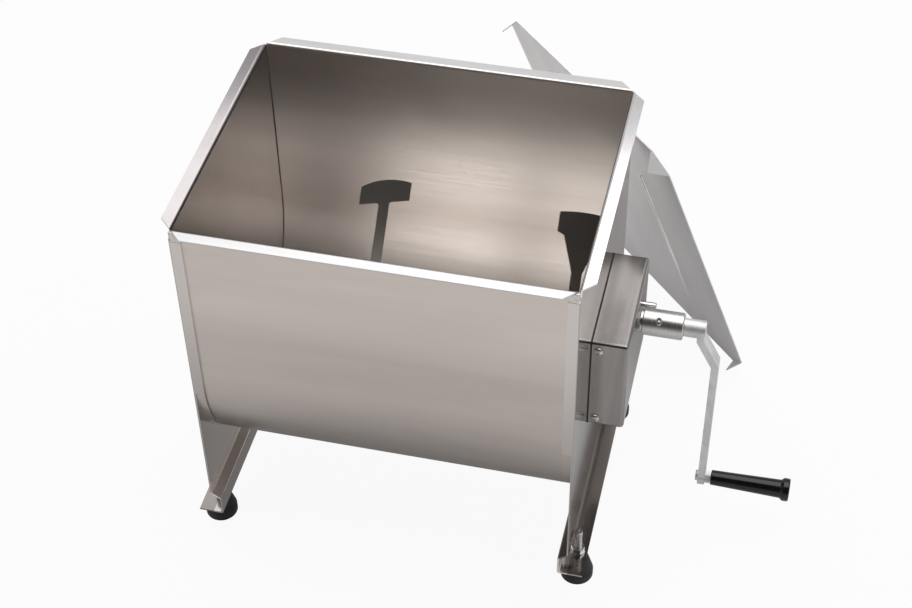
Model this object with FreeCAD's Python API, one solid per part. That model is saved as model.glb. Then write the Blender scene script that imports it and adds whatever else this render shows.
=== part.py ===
"""Hand-crank meat mixer: open stainless trough, T-bladed shaft, side gear case, crank and lift-off lid.

Millimetres. +Z up, X along the trough with the crank at +X, the front is -Y.
The origin is on the floor, below the middle of the mixing shaft.
"""
import FreeCAD, Part
import math
import os

V = FreeCAD.Vector

# Trough and end plates
trough_length = 400.0
trough_radius = 154.0
wall_height = 216.0
trough_sheet = 1.5
plate_sheet = 2.0
shaft_height = 244.0
lip_width = 14.0
bend_radius = 1.5
edge_flange = 10.0
weld_overlap = 12.0

# Foot channel along the bottom of each end plate
joggle_height = 69.5
joggle_drop = 7.0
joggle_depth = 10.0
foot_flange_top = 39.0
foot_flange_reach = 16.0

# Feet
foot_setback = 32.0
stud_radius = 4.0
stud_gap = 1.0
stud_top = 73.0
stud_root = 12.0
stud_socket_radius = 2.2
stud_socket_depth = 6.0
pad_radius = 18.0
pad_neck_radius = 12.0
pad_rim_height = 9.0
pad_height = 29.5
pad_round = 1.5
nut_flats = 13.0
nut_thickness = 6.0
washer_radius = 8.0
washer_thickness = 1.5
stud_clearance = 0.25

# Mixing shaft and its bushes
shaft_radius = 12.5
journal_radius = 10.0
running_clearance = 0.05
bush_radius = 16.0
bush_flange_radius = 24.0
bush_flange_thickness = 4.0
bush_nose = 4.0
end_float = 0.4
bush_screw_circle = 20.0
bush_screw_count = 3
bush_screw_radius = 2.0
bush_screw_head_radius = 3.2
bush_screw_head_height = 1.8
ring_thickness = 1.2
ring_radius = 14.0
ring_groove_depth = 0.6
journal_tail = 4.0

# T-shaped blades
blade_positions = (-166.0, -53.0, 55.0, 166.0)
blade_angles = (222.0, 42.0, 222.0, 42.0)
blade_pitch = 18.0
blade_tip_radius = 136.5
blade_head_width = 53.5
blade_head_height = 25.0
blade_crown = 5.6
blade_cant = 12.4
blade_stem_width = 11.0
blade_sheet = 4.0
blade_fillet = 3.0
fan_tip_radius = 131.5
fan_width = 54.0
fan_edge_height = 21.0
fan_crown = 2.4
fan_shoulder_width = 38.5
fan_shoulder_drop = 3.5
fan_root_radius = 66.0

# Gear pair
gear_module = 2.0
gear_teeth = 26
pinion_teeth = 12
pressure_angle = 25.0
addendum_share = 0.9
dedendum_share = 1.2
tooth_thinning = 0.12
gear_width = 12.0
gear_offset = 10.0
gear_hub_radius = 15.0
gear_web_thickness = 6.0
gear_rim = 4.0
key_width = 6.0
key_height = 6.0
key_length = 10.0

# Gear case
case_depth = 38.5
case_width = 140.0
case_rise = 65.0
case_fall = 57.0
case_sheet = 1.5
case_corner = 4.0
bracket_width = 18.0
bracket_sheet = 2.0
bracket_reach = 16.0
case_screw_inset_z = 11.0
case_screw_inset_x = 8.0
case_screw_radius = 2.0
case_screw_head_radius = 3.8
case_screw_head_height = 2.4
case_screw_length = 8.0

# Crank
crank_shaft_radius = 6.0
pinion_block_radius = 11.0
pinion_block_length = 7.0
case_bush_radius = 9.0
case_bush_flange_radius = 13.0
case_bush_flange = 2.0
thrust_washer_thickness = 2.0
sleeve_radius = 14.5
sleeve_start = 245.5
sleeve_length = 43.0
sleeve_round = 1.0
sleeve_screw_radius = 3.0
sleeve_screw_head = 2.6
sleeve_screw_angle = 35.0
boss_radius = 9.8
boss_length = 23.0
boss_plug = 20.0
pin_radius = 2.0
arm_width = 16.0
arm_thickness = 8.0
arm_offset = 18.0
arm_shoulder_drop = 45.0
arm_eye_radius = 9.5
crank_radius = 229.0
spindle_radius = 4.0
spindle_head_radius = 6.0
spindle_head = 3.0
ferrule_radius = 7.5
ferrule_length = 6.0
grip_gap = 0.4
grip_length = 88.0
grip_inner_radius = 8.4
grip_outer_radius = 10.4
grip_rim_radius = 13.0
grip_rim_length = 7.0
grip_end_recess = 3.0
grip_recess_radius = 6.5

# Stop pin beside the crank
stop_pin_radius = 3.8
stop_pin_length = 15.0
stop_pin_shank = 2.5
stop_pin_back = 26.0
stop_pin_drop = 2.0

# Lid, standing against the back corner as it is photographed
lid_width = 320.0
lid_length = 430.0
lid_sheet = 1.2
lid_corner_fold = 24.0
lid_bead_spacing = 147.0
lid_bead_start = 87.0
lid_bead_length = 241.0
lid_bead_radius = 2.0
lid_heading = 43.2
lid_corner_x = 354.0
lid_corner_y = 221.0
lid_clearance = 0.4

# Worked-out places
rim_height = shaft_height + wall_height
half_length = trough_length / 2
plate_outer = half_length + plate_sheet
wall_outer = trough_radius + trough_sheet
plate_half = wall_outer + plate_sheet
crank_height = shaft_height + gear_module * (gear_teeth + pinion_teeth) / 2
case_face = plate_outer + case_depth
case_top = shaft_height + case_rise
case_bottom = shaft_height - case_fall
gear_start = plate_outer + gear_offset
gear_end = gear_start + gear_width
stud_x = plate_outer + stud_radius + stud_gap
stud_y = wall_outer - foot_setback
foot_flange_bottom = foot_flange_top - plate_sheet
grip_height = crank_height - crank_radius
sleeve_end = sleeve_start + sleeve_length
boss_end = sleeve_end + boss_length
arm_inner = boss_end - arm_thickness + arm_offset
arm_outer = arm_inner + arm_thickness
ferrule_start = arm_outer
grip_start = ferrule_start + ferrule_length + grip_gap
grip_end = grip_start + grip_length
key_seat = journal_radius - key_height / 2
bush_end = plate_outer + bush_flange_thickness
ring_bore = journal_radius - ring_groove_depth


def export(name, solids):
    """Write one node, a single solid or a group of them."""
    if not isinstance(solids, (list, tuple)):
        solids = [solids]
    shape = solids[0] if len(solids) == 1 else Part.makeCompound(list(solids))
    shape.exportStep(os.path.join("parts", name + ".step"))


def rod(radius, x_start, x_end, y, z):
    """A round bar along X."""
    return Part.makeCylinder(radius, x_end - x_start, V(x_start, y, z), V(1, 0, 0))


def ring(outer, inner, x_start, x_end, y, z):
    """A round tube along X."""
    margin = 1.0
    return rod(outer, x_start, x_end, y, z).cut(rod(inner, x_start - margin, x_end + margin, y, z))


def block(low, high):
    """A box between two corners."""
    return Part.makeBox(high[0] - low[0], high[1] - low[1], high[2] - low[2], V(*low))


def mirror_x(shape):
    """The same piece at the other end of the trough."""
    return shape.mirror(V(0, 0, 0), V(1, 0, 0))


def rounded_wire(corners, place):
    """A closed wire through 2-D corners (a, b, radius); place turns (a, b) into a point."""
    edges = []
    starts = []
    ends = []
    mids = []
    count = len(corners)
    for i, (a, b, radius) in enumerate(corners):
        here = V(a, b, 0)
        before = V(corners[i - 1][0], corners[i - 1][1], 0).sub(here)
        after = V(corners[(i + 1) % count][0], corners[(i + 1) % count][1], 0).sub(here)
        before.normalize()
        after.normalize()
        if radius <= 0:
            starts.append(here)
            ends.append(here)
            mids.append(None)
            continue
        half = before.getAngle(after) / 2
        reach = radius / math.tan(half)
        bisector = before.add(after)
        bisector.normalize()
        starts.append(here + before * reach)
        ends.append(here + after * reach)
        mids.append(here + bisector * (radius / math.sin(half) - radius))
    for i in range(count):
        if mids[i] is not None:
            arc = Part.Arc(place(starts[i]), place(mids[i]), place(ends[i]))
            edges.append(arc.toShape())
        following = (i + 1) % count
        if ends[i].distanceToPoint(starts[following]) > 1e-6:
            edges.append(Part.LineSegment(place(ends[i]), place(starts[following])).toShape())
    return Part.Wire(edges)


def strip(path, thickness, radius):
    """Corners of a bent sheet: path is its right-hand face, the sheet lies to its left."""
    offsets = []
    for i in range(len(path)):
        here = V(path[i][0], path[i][1], 0)
        normals = []
        if i > 0:
            along = here.sub(V(path[i - 1][0], path[i - 1][1], 0))
            along.normalize()
            normals.append(V(-along.y, along.x, 0))
        if i < len(path) - 1:
            along = V(path[i + 1][0], path[i + 1][1], 0).sub(here)
            along.normalize()
            normals.append(V(-along.y, along.x, 0))
        middle = normals[0] if len(normals) == 1 else normals[0].add(normals[1])
        middle.normalize()
        offsets.append(here + middle * (thickness / middle.dot(normals[0])))
    right = []
    left = []
    for i in range(len(path)):
        right_radius = 0
        left_radius = 0
        if 0 < i < len(path) - 1:
            first = V(path[i][0] - path[i - 1][0], path[i][1] - path[i - 1][1], 0)
            second = V(path[i + 1][0] - path[i][0], path[i + 1][1] - path[i][1], 0)
            turns_left = first.cross(second).z > 0
            right_radius = radius + thickness if turns_left else radius
            left_radius = radius if turns_left else radius + thickness
        right.append((path[i][0], path[i][1], right_radius))
        left.append((offsets[i].x, offsets[i].y, left_radius))
    return right + left[::-1]


def lip_corner_cutter(inner_edge, end, turn):
    """A wedge that trims one end of a lip at 45 degrees; turn places it about Z."""
    reach = 4 * lip_width
    depth = 4 * bend_radius + 2 * plate_sheet
    points = [V(end, inner_edge, 0), V(end - reach, inner_edge + reach, 0), V(end + reach, inner_edge + reach, 0),
              V(end + reach, inner_edge, 0)]
    face = Part.Face(Part.makePolygon(points + points[:1]))
    wedge = face.extrude(V(0, 0, 2 * depth))
    wedge.translate(V(0, 0, rim_height - depth))
    wedge.rotate(V(0, 0, 0), V(0, 0, 1), turn)
    return wedge


def trough():
    """One sheet bent to a U, with a lip turned out along the front and the back."""
    top = rim_height

    def place(point):
        return V(-half_length, point.x, point.y)

    lip_path = [(trough_radius + lip_width, top), (trough_radius, top), (trough_radius, shaft_height)]
    lip = strip(lip_path, trough_sheet, bend_radius)
    back = Part.Face(rounded_wire(lip, place)).extrude(V(trough_length, 0, 0))
    front = back.mirror(V(0, 0, 0), V(0, 1, 0))
    bowl = ring(wall_outer, trough_radius, -half_length, half_length, 0, shaft_height)
    upper = block((-half_length - 1, -2 * wall_outer, shaft_height), (half_length + 1, 2 * wall_outer, rim_height))
    body = bowl.cut(upper).fuse([back, front]).removeSplitter()
    for turn in (0, 180):
        cutter = lip_corner_cutter(trough_radius, half_length, turn)
        body = body.cut(cutter).cut(mirror_x(cutter))
    return body


def end_plate():
    """The right end plate: lip, foot channel, edge flanges and the shaft bush's hole."""
    outer = plate_outer
    joggle_low = joggle_height - joggle_drop
    path = [
        (half_length + lip_width, rim_height),
        (half_length, rim_height),
        (half_length, joggle_height),
        (half_length - joggle_depth, joggle_low),
        (half_length - joggle_depth, foot_flange_bottom),
        (outer + foot_flange_reach, foot_flange_bottom),
    ]

    def place(point):
        return V(point.x, -plate_half, point.y)

    profile = strip(path, plate_sheet, bend_radius)
    body = Part.Face(rounded_wire(profile, place)).extrude(V(0, 2 * plate_half, 0))
    flange_bottom = shaft_height - weld_overlap
    flange_top = rim_height - lip_width
    for side in (-1, 1):
        low_y = min(side * wall_outer, side * plate_half)
        wrap = block((half_length - edge_flange, low_y, flange_bottom), (outer, low_y + plate_sheet, flange_top))
        body = body.fuse(wrap)
    for turn in (-90, 90):
        cutter = lip_corner_cutter(half_length, trough_radius, turn)
        body = body.cut(cutter if turn < 0 else mirror_x(cutter))
        body = body.cut((cutter if turn < 0 else mirror_x(cutter)).mirror(V(0, 0, 0), V(0, 1, 0)))
    margin = 1.0
    body = body.cut(rod(bush_radius, half_length - margin, outer + margin, 0, shaft_height))
    for angle in bush_screw_angles():
        y, z = bush_screw_place(angle)
        body = body.cut(rod(bush_screw_radius, half_length - margin, outer + margin, y, z))
    for side in (-1, 1):
        hole = Part.makeCylinder(stud_radius + stud_clearance, foot_flange_top, V(stud_x, side * stud_y, 0))
        body = body.cut(hole.common(block((stud_x - washer_radius, -plate_half, foot_flange_bottom - margin),
                                          (stud_x + washer_radius, plate_half, foot_flange_top + margin))))
    return body.removeSplitter()


def bush_screw_angles():
    """Angles of the bush screws about the shaft."""
    return [270.0 + i * 360.0 / bush_screw_count for i in range(bush_screw_count)]


def bush_screw_place(angle):
    """Y and Z of one bush screw."""
    turn = math.radians(angle)
    return bush_screw_circle * math.cos(turn), shaft_height + bush_screw_circle * math.sin(turn)


def shaft_bush():
    """Flanged plain bush of the right end plate."""
    flange = rod(bush_flange_radius, plate_outer, bush_end, 0, shaft_height)
    sleeve = rod(bush_radius, half_length - bush_nose, plate_outer, 0, shaft_height)
    margin = 1.0
    bore = rod(journal_radius + running_clearance, half_length - bush_nose - margin, bush_end + margin, 0, shaft_height)
    body = flange.fuse(sleeve).cut(bore)
    for angle in bush_screw_angles():
        y, z = bush_screw_place(angle)
        body = body.cut(rod(bush_screw_radius, plate_outer - margin, bush_end + margin, y, z))
    return body.removeSplitter()


def bush_screws():
    """Pan-head screws that hold one bush to its plate."""
    screws = []
    for angle in bush_screw_angles():
        y, z = bush_screw_place(angle)
        shank = rod(bush_screw_radius, half_length, bush_end, y, z)
        head = rod(bush_screw_head_radius, bush_end, bush_end + bush_screw_head_height, y, z)
        screws.append(shank.fuse(head).removeSplitter())
    return screws


def foot_places():
    """X and Y of the four feet."""
    return [(sx * stud_x, sy * stud_y) for sx in (-1, 1) for sy in (-1, 1)]


def foot_pad(x, y):
    """Moulded rubber foot, bonded round its stud."""
    corners = [
        (0, 0, 0),
        (pad_radius, 0, pad_round),
        (pad_radius, pad_rim_height, pad_round),
        (pad_neck_radius, pad_height, pad_round),
        (0, pad_height, 0),
    ]
    wire = rounded_wire(corners, lambda p: V(p.x, 0, p.y))
    body = Part.Face(wire).revolve(V(0, 0, 0), V(0, 0, 1), 360)
    body = body.cut(Part.makeCylinder(stud_radius, pad_height, V(0, 0, stud_root)))
    body.translate(V(x, y, 0))
    return body


def foot_stud(x, y):
    """Threaded stud with a socket in its top."""
    body = Part.makeCylinder(stud_radius, stud_top - stud_root, V(0, 0, stud_root))
    socket = Part.makeCylinder(stud_socket_radius, stud_socket_depth, V(0, 0, stud_top - stud_socket_depth))
    body = body.cut(socket)
    body.translate(V(x, y, 0))
    return body


def hex_nut(x, y, bottom, top):
    """A hexagon nut round a stud."""
    corner = nut_flats / 2 / math.cos(math.pi / 6)
    points = []
    for i in range(6):
        turn = math.radians(60 * i)
        points.append(V(x + corner * math.cos(turn), y + corner * math.sin(turn), bottom))
    face = Part.Face(Part.makePolygon(points + points[:1]))
    body = face.extrude(V(0, 0, top - bottom))
    return body.cut(Part.makeCylinder(stud_radius, top - bottom, V(x, y, bottom)))


def foot_fasteners():
    """Nut and washer above each foot flange, nut below it."""
    nuts = []
    washers = []
    for x, y in foot_places():
        nuts.append(hex_nut(x, y, pad_height, foot_flange_bottom))
        washer = Part.makeCylinder(washer_radius, washer_thickness, V(x, y, foot_flange_top))
        washer = washer.cut(Part.makeCylinder(stud_radius + stud_clearance, washer_thickness, V(x, y, foot_flange_top)))
        washers.append(washer)
        nut_bottom = foot_flange_top + washer_thickness
        nuts.append(hex_nut(x, y, nut_bottom, nut_bottom + nut_thickness))
    return nuts, washers


def mixing_shaft():
    """Round shaft with journals, keyway and ring grooves."""
    shoulder = half_length - bush_nose - end_float
    left_end = -(bush_end + end_float + ring_thickness + journal_tail)
    right_end = gear_end + ring_thickness + journal_tail
    body = rod(shaft_radius, -shoulder, shoulder, 0, shaft_height)
    body = body.fuse(rod(journal_radius, left_end, right_end, 0, shaft_height)).removeSplitter()
    for start in (-(bush_end + end_float + ring_thickness), gear_end):
        groove = ring(2 * journal_radius, ring_bore, start, start + ring_thickness, 0, shaft_height)
        body = body.cut(groove)
    return body.cut(drive_key())


def drive_key():
    """Parallel key between the shaft and its gear."""
    middle = gear_start + gear_width / 2
    bottom = shaft_height + key_seat
    return block((middle - key_length / 2, -key_width / 2, bottom),
                 (middle + key_length / 2, key_width / 2, bottom + key_height))


def retaining_ring(start):
    """Ring that sits in a groove of the shaft."""
    body = ring(ring_radius, ring_bore, start, start + ring_thickness, 0, shaft_height)
    gap = block((start, -key_width / 2, shaft_height - ring_radius), (start + ring_thickness, key_width / 2, shaft_height))
    return body.cut(gap)


def set_blade(outline, x, angle):
    """A flat outline given its sheet thickness, pitched, cut to the shaft and turned to its angle."""
    body = Part.Face(Part.Wire(outline)).extrude(V(0, blade_sheet, 0))
    body.translate(V(0, -blade_sheet / 2, 0))
    neck_edges = [e for e in body.Edges if is_neck_edge(e)]
    body = body.makeFillet(blade_fillet, neck_edges)
    body.rotate(V(0, 0, 0), V(0, 0, 1), blade_pitch)
    body = body.cut(rod(shaft_radius, -blade_head_width, blade_head_width, 0, 0))
    body.rotate(V(0, 0, 0), V(1, 0, 0), -angle)
    body.translate(V(x, 0, shaft_height))
    return body


def blade_outline(crown_points, side_points):
    """Closed edges of a blade: the crowned top, then straight runs back to its start."""
    first, middle, last = crown_points
    edges = [Part.Arc(first, middle, last).toShape()]
    points = [last] + side_points + [first]
    for start, end in zip(points, points[1:]):
        edges.append(Part.LineSegment(start, end).toShape())
    return edges


def tee_blade(x, angle):
    """T-shaped blade: a stem up to a crowned head that is set on a slant."""
    half_head = blade_head_width / 2
    half_stem = blade_stem_width / 2
    slope = math.tan(math.radians(blade_cant))
    shoulder = blade_tip_radius - blade_crown
    under = blade_tip_radius - blade_head_height
    crown_points = [
        V(-half_head, 0, shoulder - half_head * slope),
        V(0, 0, blade_tip_radius),
        V(half_head, 0, shoulder + half_head * slope),
    ]
    side_points = [
        V(half_head, 0, under + half_head * slope),
        V(half_stem, 0, under + half_stem * slope),
        V(half_stem, 0, 0),
        V(-half_stem, 0, 0),
        V(-half_stem, 0, under - half_stem * slope),
        V(-half_head, 0, under - half_head * slope),
    ]
    return set_blade(blade_outline(crown_points, side_points), x, angle)


def fan_blade(x, angle):
    """End blade: a stem that fans out to a broad head beside the end plate."""
    half_head = fan_width / 2
    half_stem = blade_stem_width / 2
    half_shoulder = fan_shoulder_width / 2
    corner = fan_tip_radius - fan_crown
    under = corner - fan_edge_height
    shoulder = under - fan_shoulder_drop
    crown_points = [V(-half_head, 0, corner), V(0, 0, fan_tip_radius), V(half_head, 0, corner)]
    right_side = [
        V(half_head, 0, under),
        V(half_shoulder, 0, shoulder),
        V(half_stem, 0, fan_root_radius),
        V(half_stem, 0, 0),
    ]
    left_side = [V(-p.x, 0, p.z) for p in reversed(right_side)]
    return set_blade(blade_outline(crown_points, right_side + left_side), x, angle)


def is_neck_edge(edge):
    """Whether an edge runs through the sheet where the stem opens out into the head."""
    ends = [v.Point for v in edge.Vertexes]
    on_stem = all(abs(abs(p.x) - blade_stem_width / 2) < 0.01 for p in ends)
    return on_stem and ends[0].z > shaft_radius and abs(ends[0].z - ends[-1].z) < 0.01


def involute_gear(teeth, width, start, height, first_angle):
    """Spur gear along X: first_angle is where one tooth's middle points, from +Y towards +Z."""
    pitch = gear_module * teeth / 2
    base = pitch * math.cos(math.radians(pressure_angle))
    tip = pitch + addendum_share * gear_module
    root = pitch - dedendum_share * gear_module
    lowest = max(base, root)
    roll = math.tan(math.radians(pressure_angle)) - math.radians(pressure_angle)
    half_pitch_angle = (math.pi * gear_module / 2 - tooth_thinning) / 2 / pitch

    def half_angle(radius):
        slope = math.acos(min(1.0, base / radius))
        return half_pitch_angle + roll - (math.tan(slope) - slope)

    def point(radius, turn):
        return V(start, radius * math.cos(turn), height + radius * math.sin(turn))

    steps = 5
    radii = [lowest + (tip - lowest) * i / (steps - 1) for i in range(steps)]
    edges = []
    step = 2 * math.pi / teeth
    for i in range(teeth):
        middle = math.radians(first_angle) + i * step
        rising = [point(r, middle - half_angle(r)) for r in radii]
        falling = [point(r, middle + half_angle(r)) for r in reversed(radii)]
        foot = half_angle(lowest)
        if root < lowest - 1e-6:
            edges.append(Part.LineSegment(point(root, middle - foot), rising[0]).toShape())
        edges.append(flank(rising))
        edges.append(Part.Arc(rising[-1], point(tip, middle), falling[0]).toShape())
        edges.append(flank(falling))
        if root < lowest - 1e-6:
            edges.append(Part.LineSegment(falling[-1], point(root, middle + foot)).toShape())
        bottom = point(root, middle + step / 2)
        floor = min(root, lowest)
        edges.append(Part.Arc(point(floor, middle + foot), bottom, point(floor, middle + step - foot)).toShape())
    return Part.Face(Part.Wire(edges)).extrude(V(width, 0, 0))


def flank(points):
    """One smooth flank of a tooth."""
    curve = Part.BSplineCurve()
    curve.interpolate(points)
    return curve.toShape()


def drive_gear():
    """Large gear on the mixing shaft, with a thinner web and a hub."""
    up = 90.0
    body = involute_gear(gear_teeth, gear_width, gear_start, shaft_height, up)
    root = gear_module * gear_teeth / 2 - dedendum_share * gear_module
    recess = (gear_width - gear_web_thickness) / 2
    margin = 1.0
    for start, end in ((gear_start - margin, gear_start + recess), (gear_end - recess, gear_end + margin)):
        body = body.cut(ring(root - gear_rim, gear_hub_radius, start, end, 0, shaft_height))
    body = body.cut(rod(journal_radius, gear_start - margin, gear_end + margin, 0, shaft_height))
    return body.cut(drive_key()).removeSplitter()


def pinion():
    """Small gear on the crank's shaft, meshing above the large one."""
    gap_down = 270.0 + 180.0 / pinion_teeth
    body = involute_gear(pinion_teeth, gear_width, gear_start, crank_height, gap_down)
    margin = 1.0
    body = body.cut(rod(crank_shaft_radius, gear_start - margin, gear_end + margin, 0, crank_height))
    return body.cut(cross_pin_hole())


def cross_pin_hole():
    """Space of the pin through the pinion and its shaft."""
    middle = gear_start + gear_width / 2
    reach = gear_module * pinion_teeth / 2 - dedendum_share * gear_module
    return Part.makeCylinder(pin_radius, 2 * reach, V(middle, -reach, crank_height), V(0, 1, 0))


def case_cover():
    """Folded sheet case over the gears, open towards the end plate."""
    half = case_width / 2
    outer = block((plate_outer, -half, case_bottom), (case_face, half, case_top))
    far_edges = [e for e in outer.Edges if all(v.X > case_face - 0.01 for v in e.Vertexes)]
    long_edges = [e for e in outer.Edges if abs(e.Vertexes[0].X - e.Vertexes[1].X) > 1]
    outer = outer.makeFillet(case_corner, far_edges + long_edges)
    margin = 1.0
    inner = block((plate_outer - margin, -half + case_sheet, case_bottom + case_sheet),
                  (case_face - case_sheet, half - case_sheet, case_top - case_sheet))
    inner_far = [e for e in inner.Edges if all(v.X > case_face - case_sheet - 0.01 for v in e.Vertexes)]
    inner_long = [e for e in inner.Edges if abs(e.Vertexes[0].X - e.Vertexes[1].X) > 1]
    inner = inner.makeFillet(case_corner - case_sheet, inner_far + inner_long)
    body = outer.cut(inner)
    body = body.cut(rod(case_bush_radius, case_face - 2 * case_sheet, case_face + margin, 0, crank_height))
    pin_y, pin_z = stop_pin_place()
    body = body.cut(rod(stop_pin_shank, case_face - 2 * case_sheet, case_face + margin, pin_y, pin_z))
    for screw in case_screw_shanks():
        body = body.cut(screw)
    return body


def case_screw_places():
    """X, side and Z of the screws through the case's front and back."""
    x = plate_outer + case_screw_inset_x
    levels = (case_bottom + case_screw_inset_z, case_top - case_screw_inset_z)
    return [(x, side, z) for side in (-1, 1) for z in levels]


def case_screw_shanks():
    """Shanks of the case screws, pointing inwards."""
    shanks = []
    for x, side, z in case_screw_places():
        start = V(x, side * case_width / 2, z)
        shanks.append(Part.makeCylinder(case_screw_radius, case_screw_length, start, V(0, -side, 0)))
    return shanks


def case_screws():
    """Pan-head case screws."""
    screws = []
    for (x, side, z), shank in zip(case_screw_places(), case_screw_shanks()):
        start = V(x, side * case_width / 2, z)
        head = Part.makeCylinder(case_screw_head_radius, case_screw_head_height, start, V(0, side, 0))
        rim = [e for e in head.Edges if abs(e.BoundBox.Center.y - start.y) > case_screw_head_height / 2]
        head = head.makeFillet(case_screw_head_height / 2, [e for e in rim if e.BoundBox.XLength > case_screw_radius
                                                            and e.BoundBox.YLength < 0.01])
        screws.append(head.fuse(shank).removeSplitter())
    return screws


def case_bracket(side):
    """Angle bracket welded to the end plate inside the case."""
    inner_wall = case_width / 2 - case_sheet
    low = case_bottom + case_sheet + case_corner
    high = case_top - case_sheet - case_corner
    leg = block((plate_outer, inner_wall - bracket_sheet, low), (plate_outer + bracket_width, inner_wall, high))
    base = block((plate_outer, inner_wall - bracket_reach, low), (plate_outer + bracket_sheet, inner_wall, high))
    body = leg.fuse(base).removeSplitter()
    if side < 0:
        body = body.mirror(V(0, 0, 0), V(0, 1, 0))
    for shank in case_screw_shanks():
        body = body.cut(shank)
    return body


def pinion_block():
    """Blind bearing block of the crank's shaft, welded to the end plate."""
    end = plate_outer + pinion_block_length
    body = rod(pinion_block_radius, plate_outer, end, 0, crank_height)
    margin = 1.0
    return body.cut(rod(crank_shaft_radius + running_clearance, plate_outer + plate_sheet, end + margin, 0, crank_height))


def case_bush():
    """Flanged bush in the case's face."""
    inner = case_face - case_sheet - case_bush_flange
    flange = rod(case_bush_flange_radius, inner, case_face - case_sheet, 0, crank_height)
    sleeve = rod(case_bush_radius, case_face - case_sheet, case_face + case_bush_flange, 0, crank_height)
    margin = 1.0
    bore = rod(crank_shaft_radius + running_clearance, inner - margin, case_face + case_bush_flange + margin,
               0, crank_height)
    return flange.fuse(sleeve).cut(bore).removeSplitter()


def stop_pin_place():
    """Y and Z of the stop pin beside the crank."""
    return stop_pin_back, crank_height - stop_pin_drop


def stop_pin():
    """Round-headed pin riveted through the case's face."""
    y, z = stop_pin_place()
    head = rod(stop_pin_radius, case_face, case_face + stop_pin_length, y, z)
    outer = [e for e in head.Edges if e.BoundBox.XMin > case_face + stop_pin_length - 0.01]
    head = head.makeChamfer(stop_pin_radius / 5, outer)
    shank = rod(stop_pin_shank, case_face - case_sheet, case_face, y, z)
    return head.fuse(shank).removeSplitter()


def crank_shaft():
    """Input shaft from its bearing block to inside the sleeve."""
    start = plate_outer + plate_sheet + end_float
    body = rod(crank_shaft_radius, start, sleeve_end - boss_plug, 0, crank_height)
    return body.cut(cross_pin_hole()).cut(sleeve_screw_hole())


def pinion_pin():
    """Pin through the pinion and the crank's shaft."""
    return cross_pin_hole()


def thrust_washer():
    """Washer between the case's bush and the sleeve."""
    start = sleeve_start - thrust_washer_thickness
    return ring(case_bush_flange_radius, crank_shaft_radius, start, sleeve_start, 0, crank_height)


def crank_sleeve():
    """Coupling sleeve between the input shaft and the crank's boss."""
    body = rod(sleeve_radius, sleeve_start, sleeve_end, 0, crank_height)
    body = body.makeChamfer(sleeve_round, [e for e in body.Edges if e.BoundBox.XLength < 0.01])
    margin = 1.0
    body = body.cut(rod(crank_shaft_radius, sleeve_start - margin, sleeve_end, 0, crank_height))
    body = body.cut(rod(boss_radius, sleeve_end - boss_plug, sleeve_end + margin, 0, crank_height))
    return body.cut(sleeve_screw_hole())


def sleeve_screw_direction():
    """Unit vector from the shaft's axis to the sleeve's screw."""
    turn = math.radians(sleeve_screw_angle)
    return V(0, -math.sin(turn), math.cos(turn))


def sleeve_screw_x():
    """Where the sleeve's screw stands along the shaft."""
    return sleeve_start + (sleeve_length - boss_plug) * 0.75


def sleeve_screw_hole():
    """Space of the sleeve's screw, half way into the shaft."""
    direction = sleeve_screw_direction()
    base = V(sleeve_screw_x(), 0, crank_height) + direction * (crank_shaft_radius / 2)
    return Part.makeCylinder(sleeve_screw_radius, sleeve_radius, base, direction)


def sleeve_screw():
    """Cap screw that locks the sleeve to the shaft."""
    direction = sleeve_screw_direction()
    base = V(sleeve_screw_x(), 0, crank_height) + direction * (crank_shaft_radius / 2)
    length = sleeve_radius - crank_shaft_radius / 2 + sleeve_screw_head / 2
    body = Part.makeCylinder(sleeve_screw_radius, length, base, direction)
    socket = Part.makeCylinder(sleeve_screw_radius / 2, sleeve_screw_head, base + direction * (length - sleeve_screw_head),
                               direction)
    return body.cut(socket)


def crank_arm():
    """Round boss, shoulder and long flat arm down to the eye of the grip's spindle."""
    boss = rod(boss_radius, sleeve_end - boss_plug, boss_end, 0, crank_height)
    half = arm_width / 2
    shoulder_low = crank_height - arm_shoulder_drop
    path = [
        (boss_end, crank_height),
        (boss_end, crank_height - boss_radius),
        (arm_outer, shoulder_low),
        (arm_outer, grip_height),
    ]
    start = boss_end - arm_thickness
    profile = [
        (path[0][0], path[0][1], 0),
        (start, path[0][1], 0),
        (start, path[1][1] - arm_thickness / 4, arm_thickness / 2),
        (arm_inner, shoulder_low - arm_thickness / 4, arm_thickness / 2),
        (arm_inner, path[3][1], 0),
        (path[3][0], path[3][1], 0),
        (path[2][0], path[2][1], arm_thickness),
        (path[1][0], path[1][1], arm_thickness / 2),
    ]
    wire = rounded_wire(profile, lambda p: V(p.x, -half, p.y))
    bar = Part.Face(wire).extrude(V(0, arm_width, 0))
    eye = rod(arm_eye_radius, arm_inner, arm_outer, 0, grip_height)
    body = boss.fuse([bar, eye]).removeSplitter()
    margin = 1.0
    return body.cut(rod(spindle_radius, arm_inner - margin, arm_outer + margin, 0, grip_height))


def grip_spindle():
    """Riveted spindle that carries the grip."""
    tail = rod(spindle_head_radius, arm_inner - spindle_head, arm_inner, 0, grip_height)
    tail = tail.makeFillet(spindle_head / 2, [e for e in tail.Edges if e.BoundBox.XMax < arm_inner - spindle_head / 2])
    pin = rod(spindle_radius, arm_inner, grip_end - grip_end_recess, 0, grip_height)
    head_end = grip_end - grip_end_recess + spindle_head / 2
    head = rod(spindle_head_radius, grip_end - grip_end_recess + grip_gap, head_end + grip_gap, 0, grip_height)
    neck = rod(spindle_radius, grip_end - grip_end_recess, head_end, 0, grip_height)
    return tail.fuse([pin, neck, head]).removeSplitter()


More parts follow.
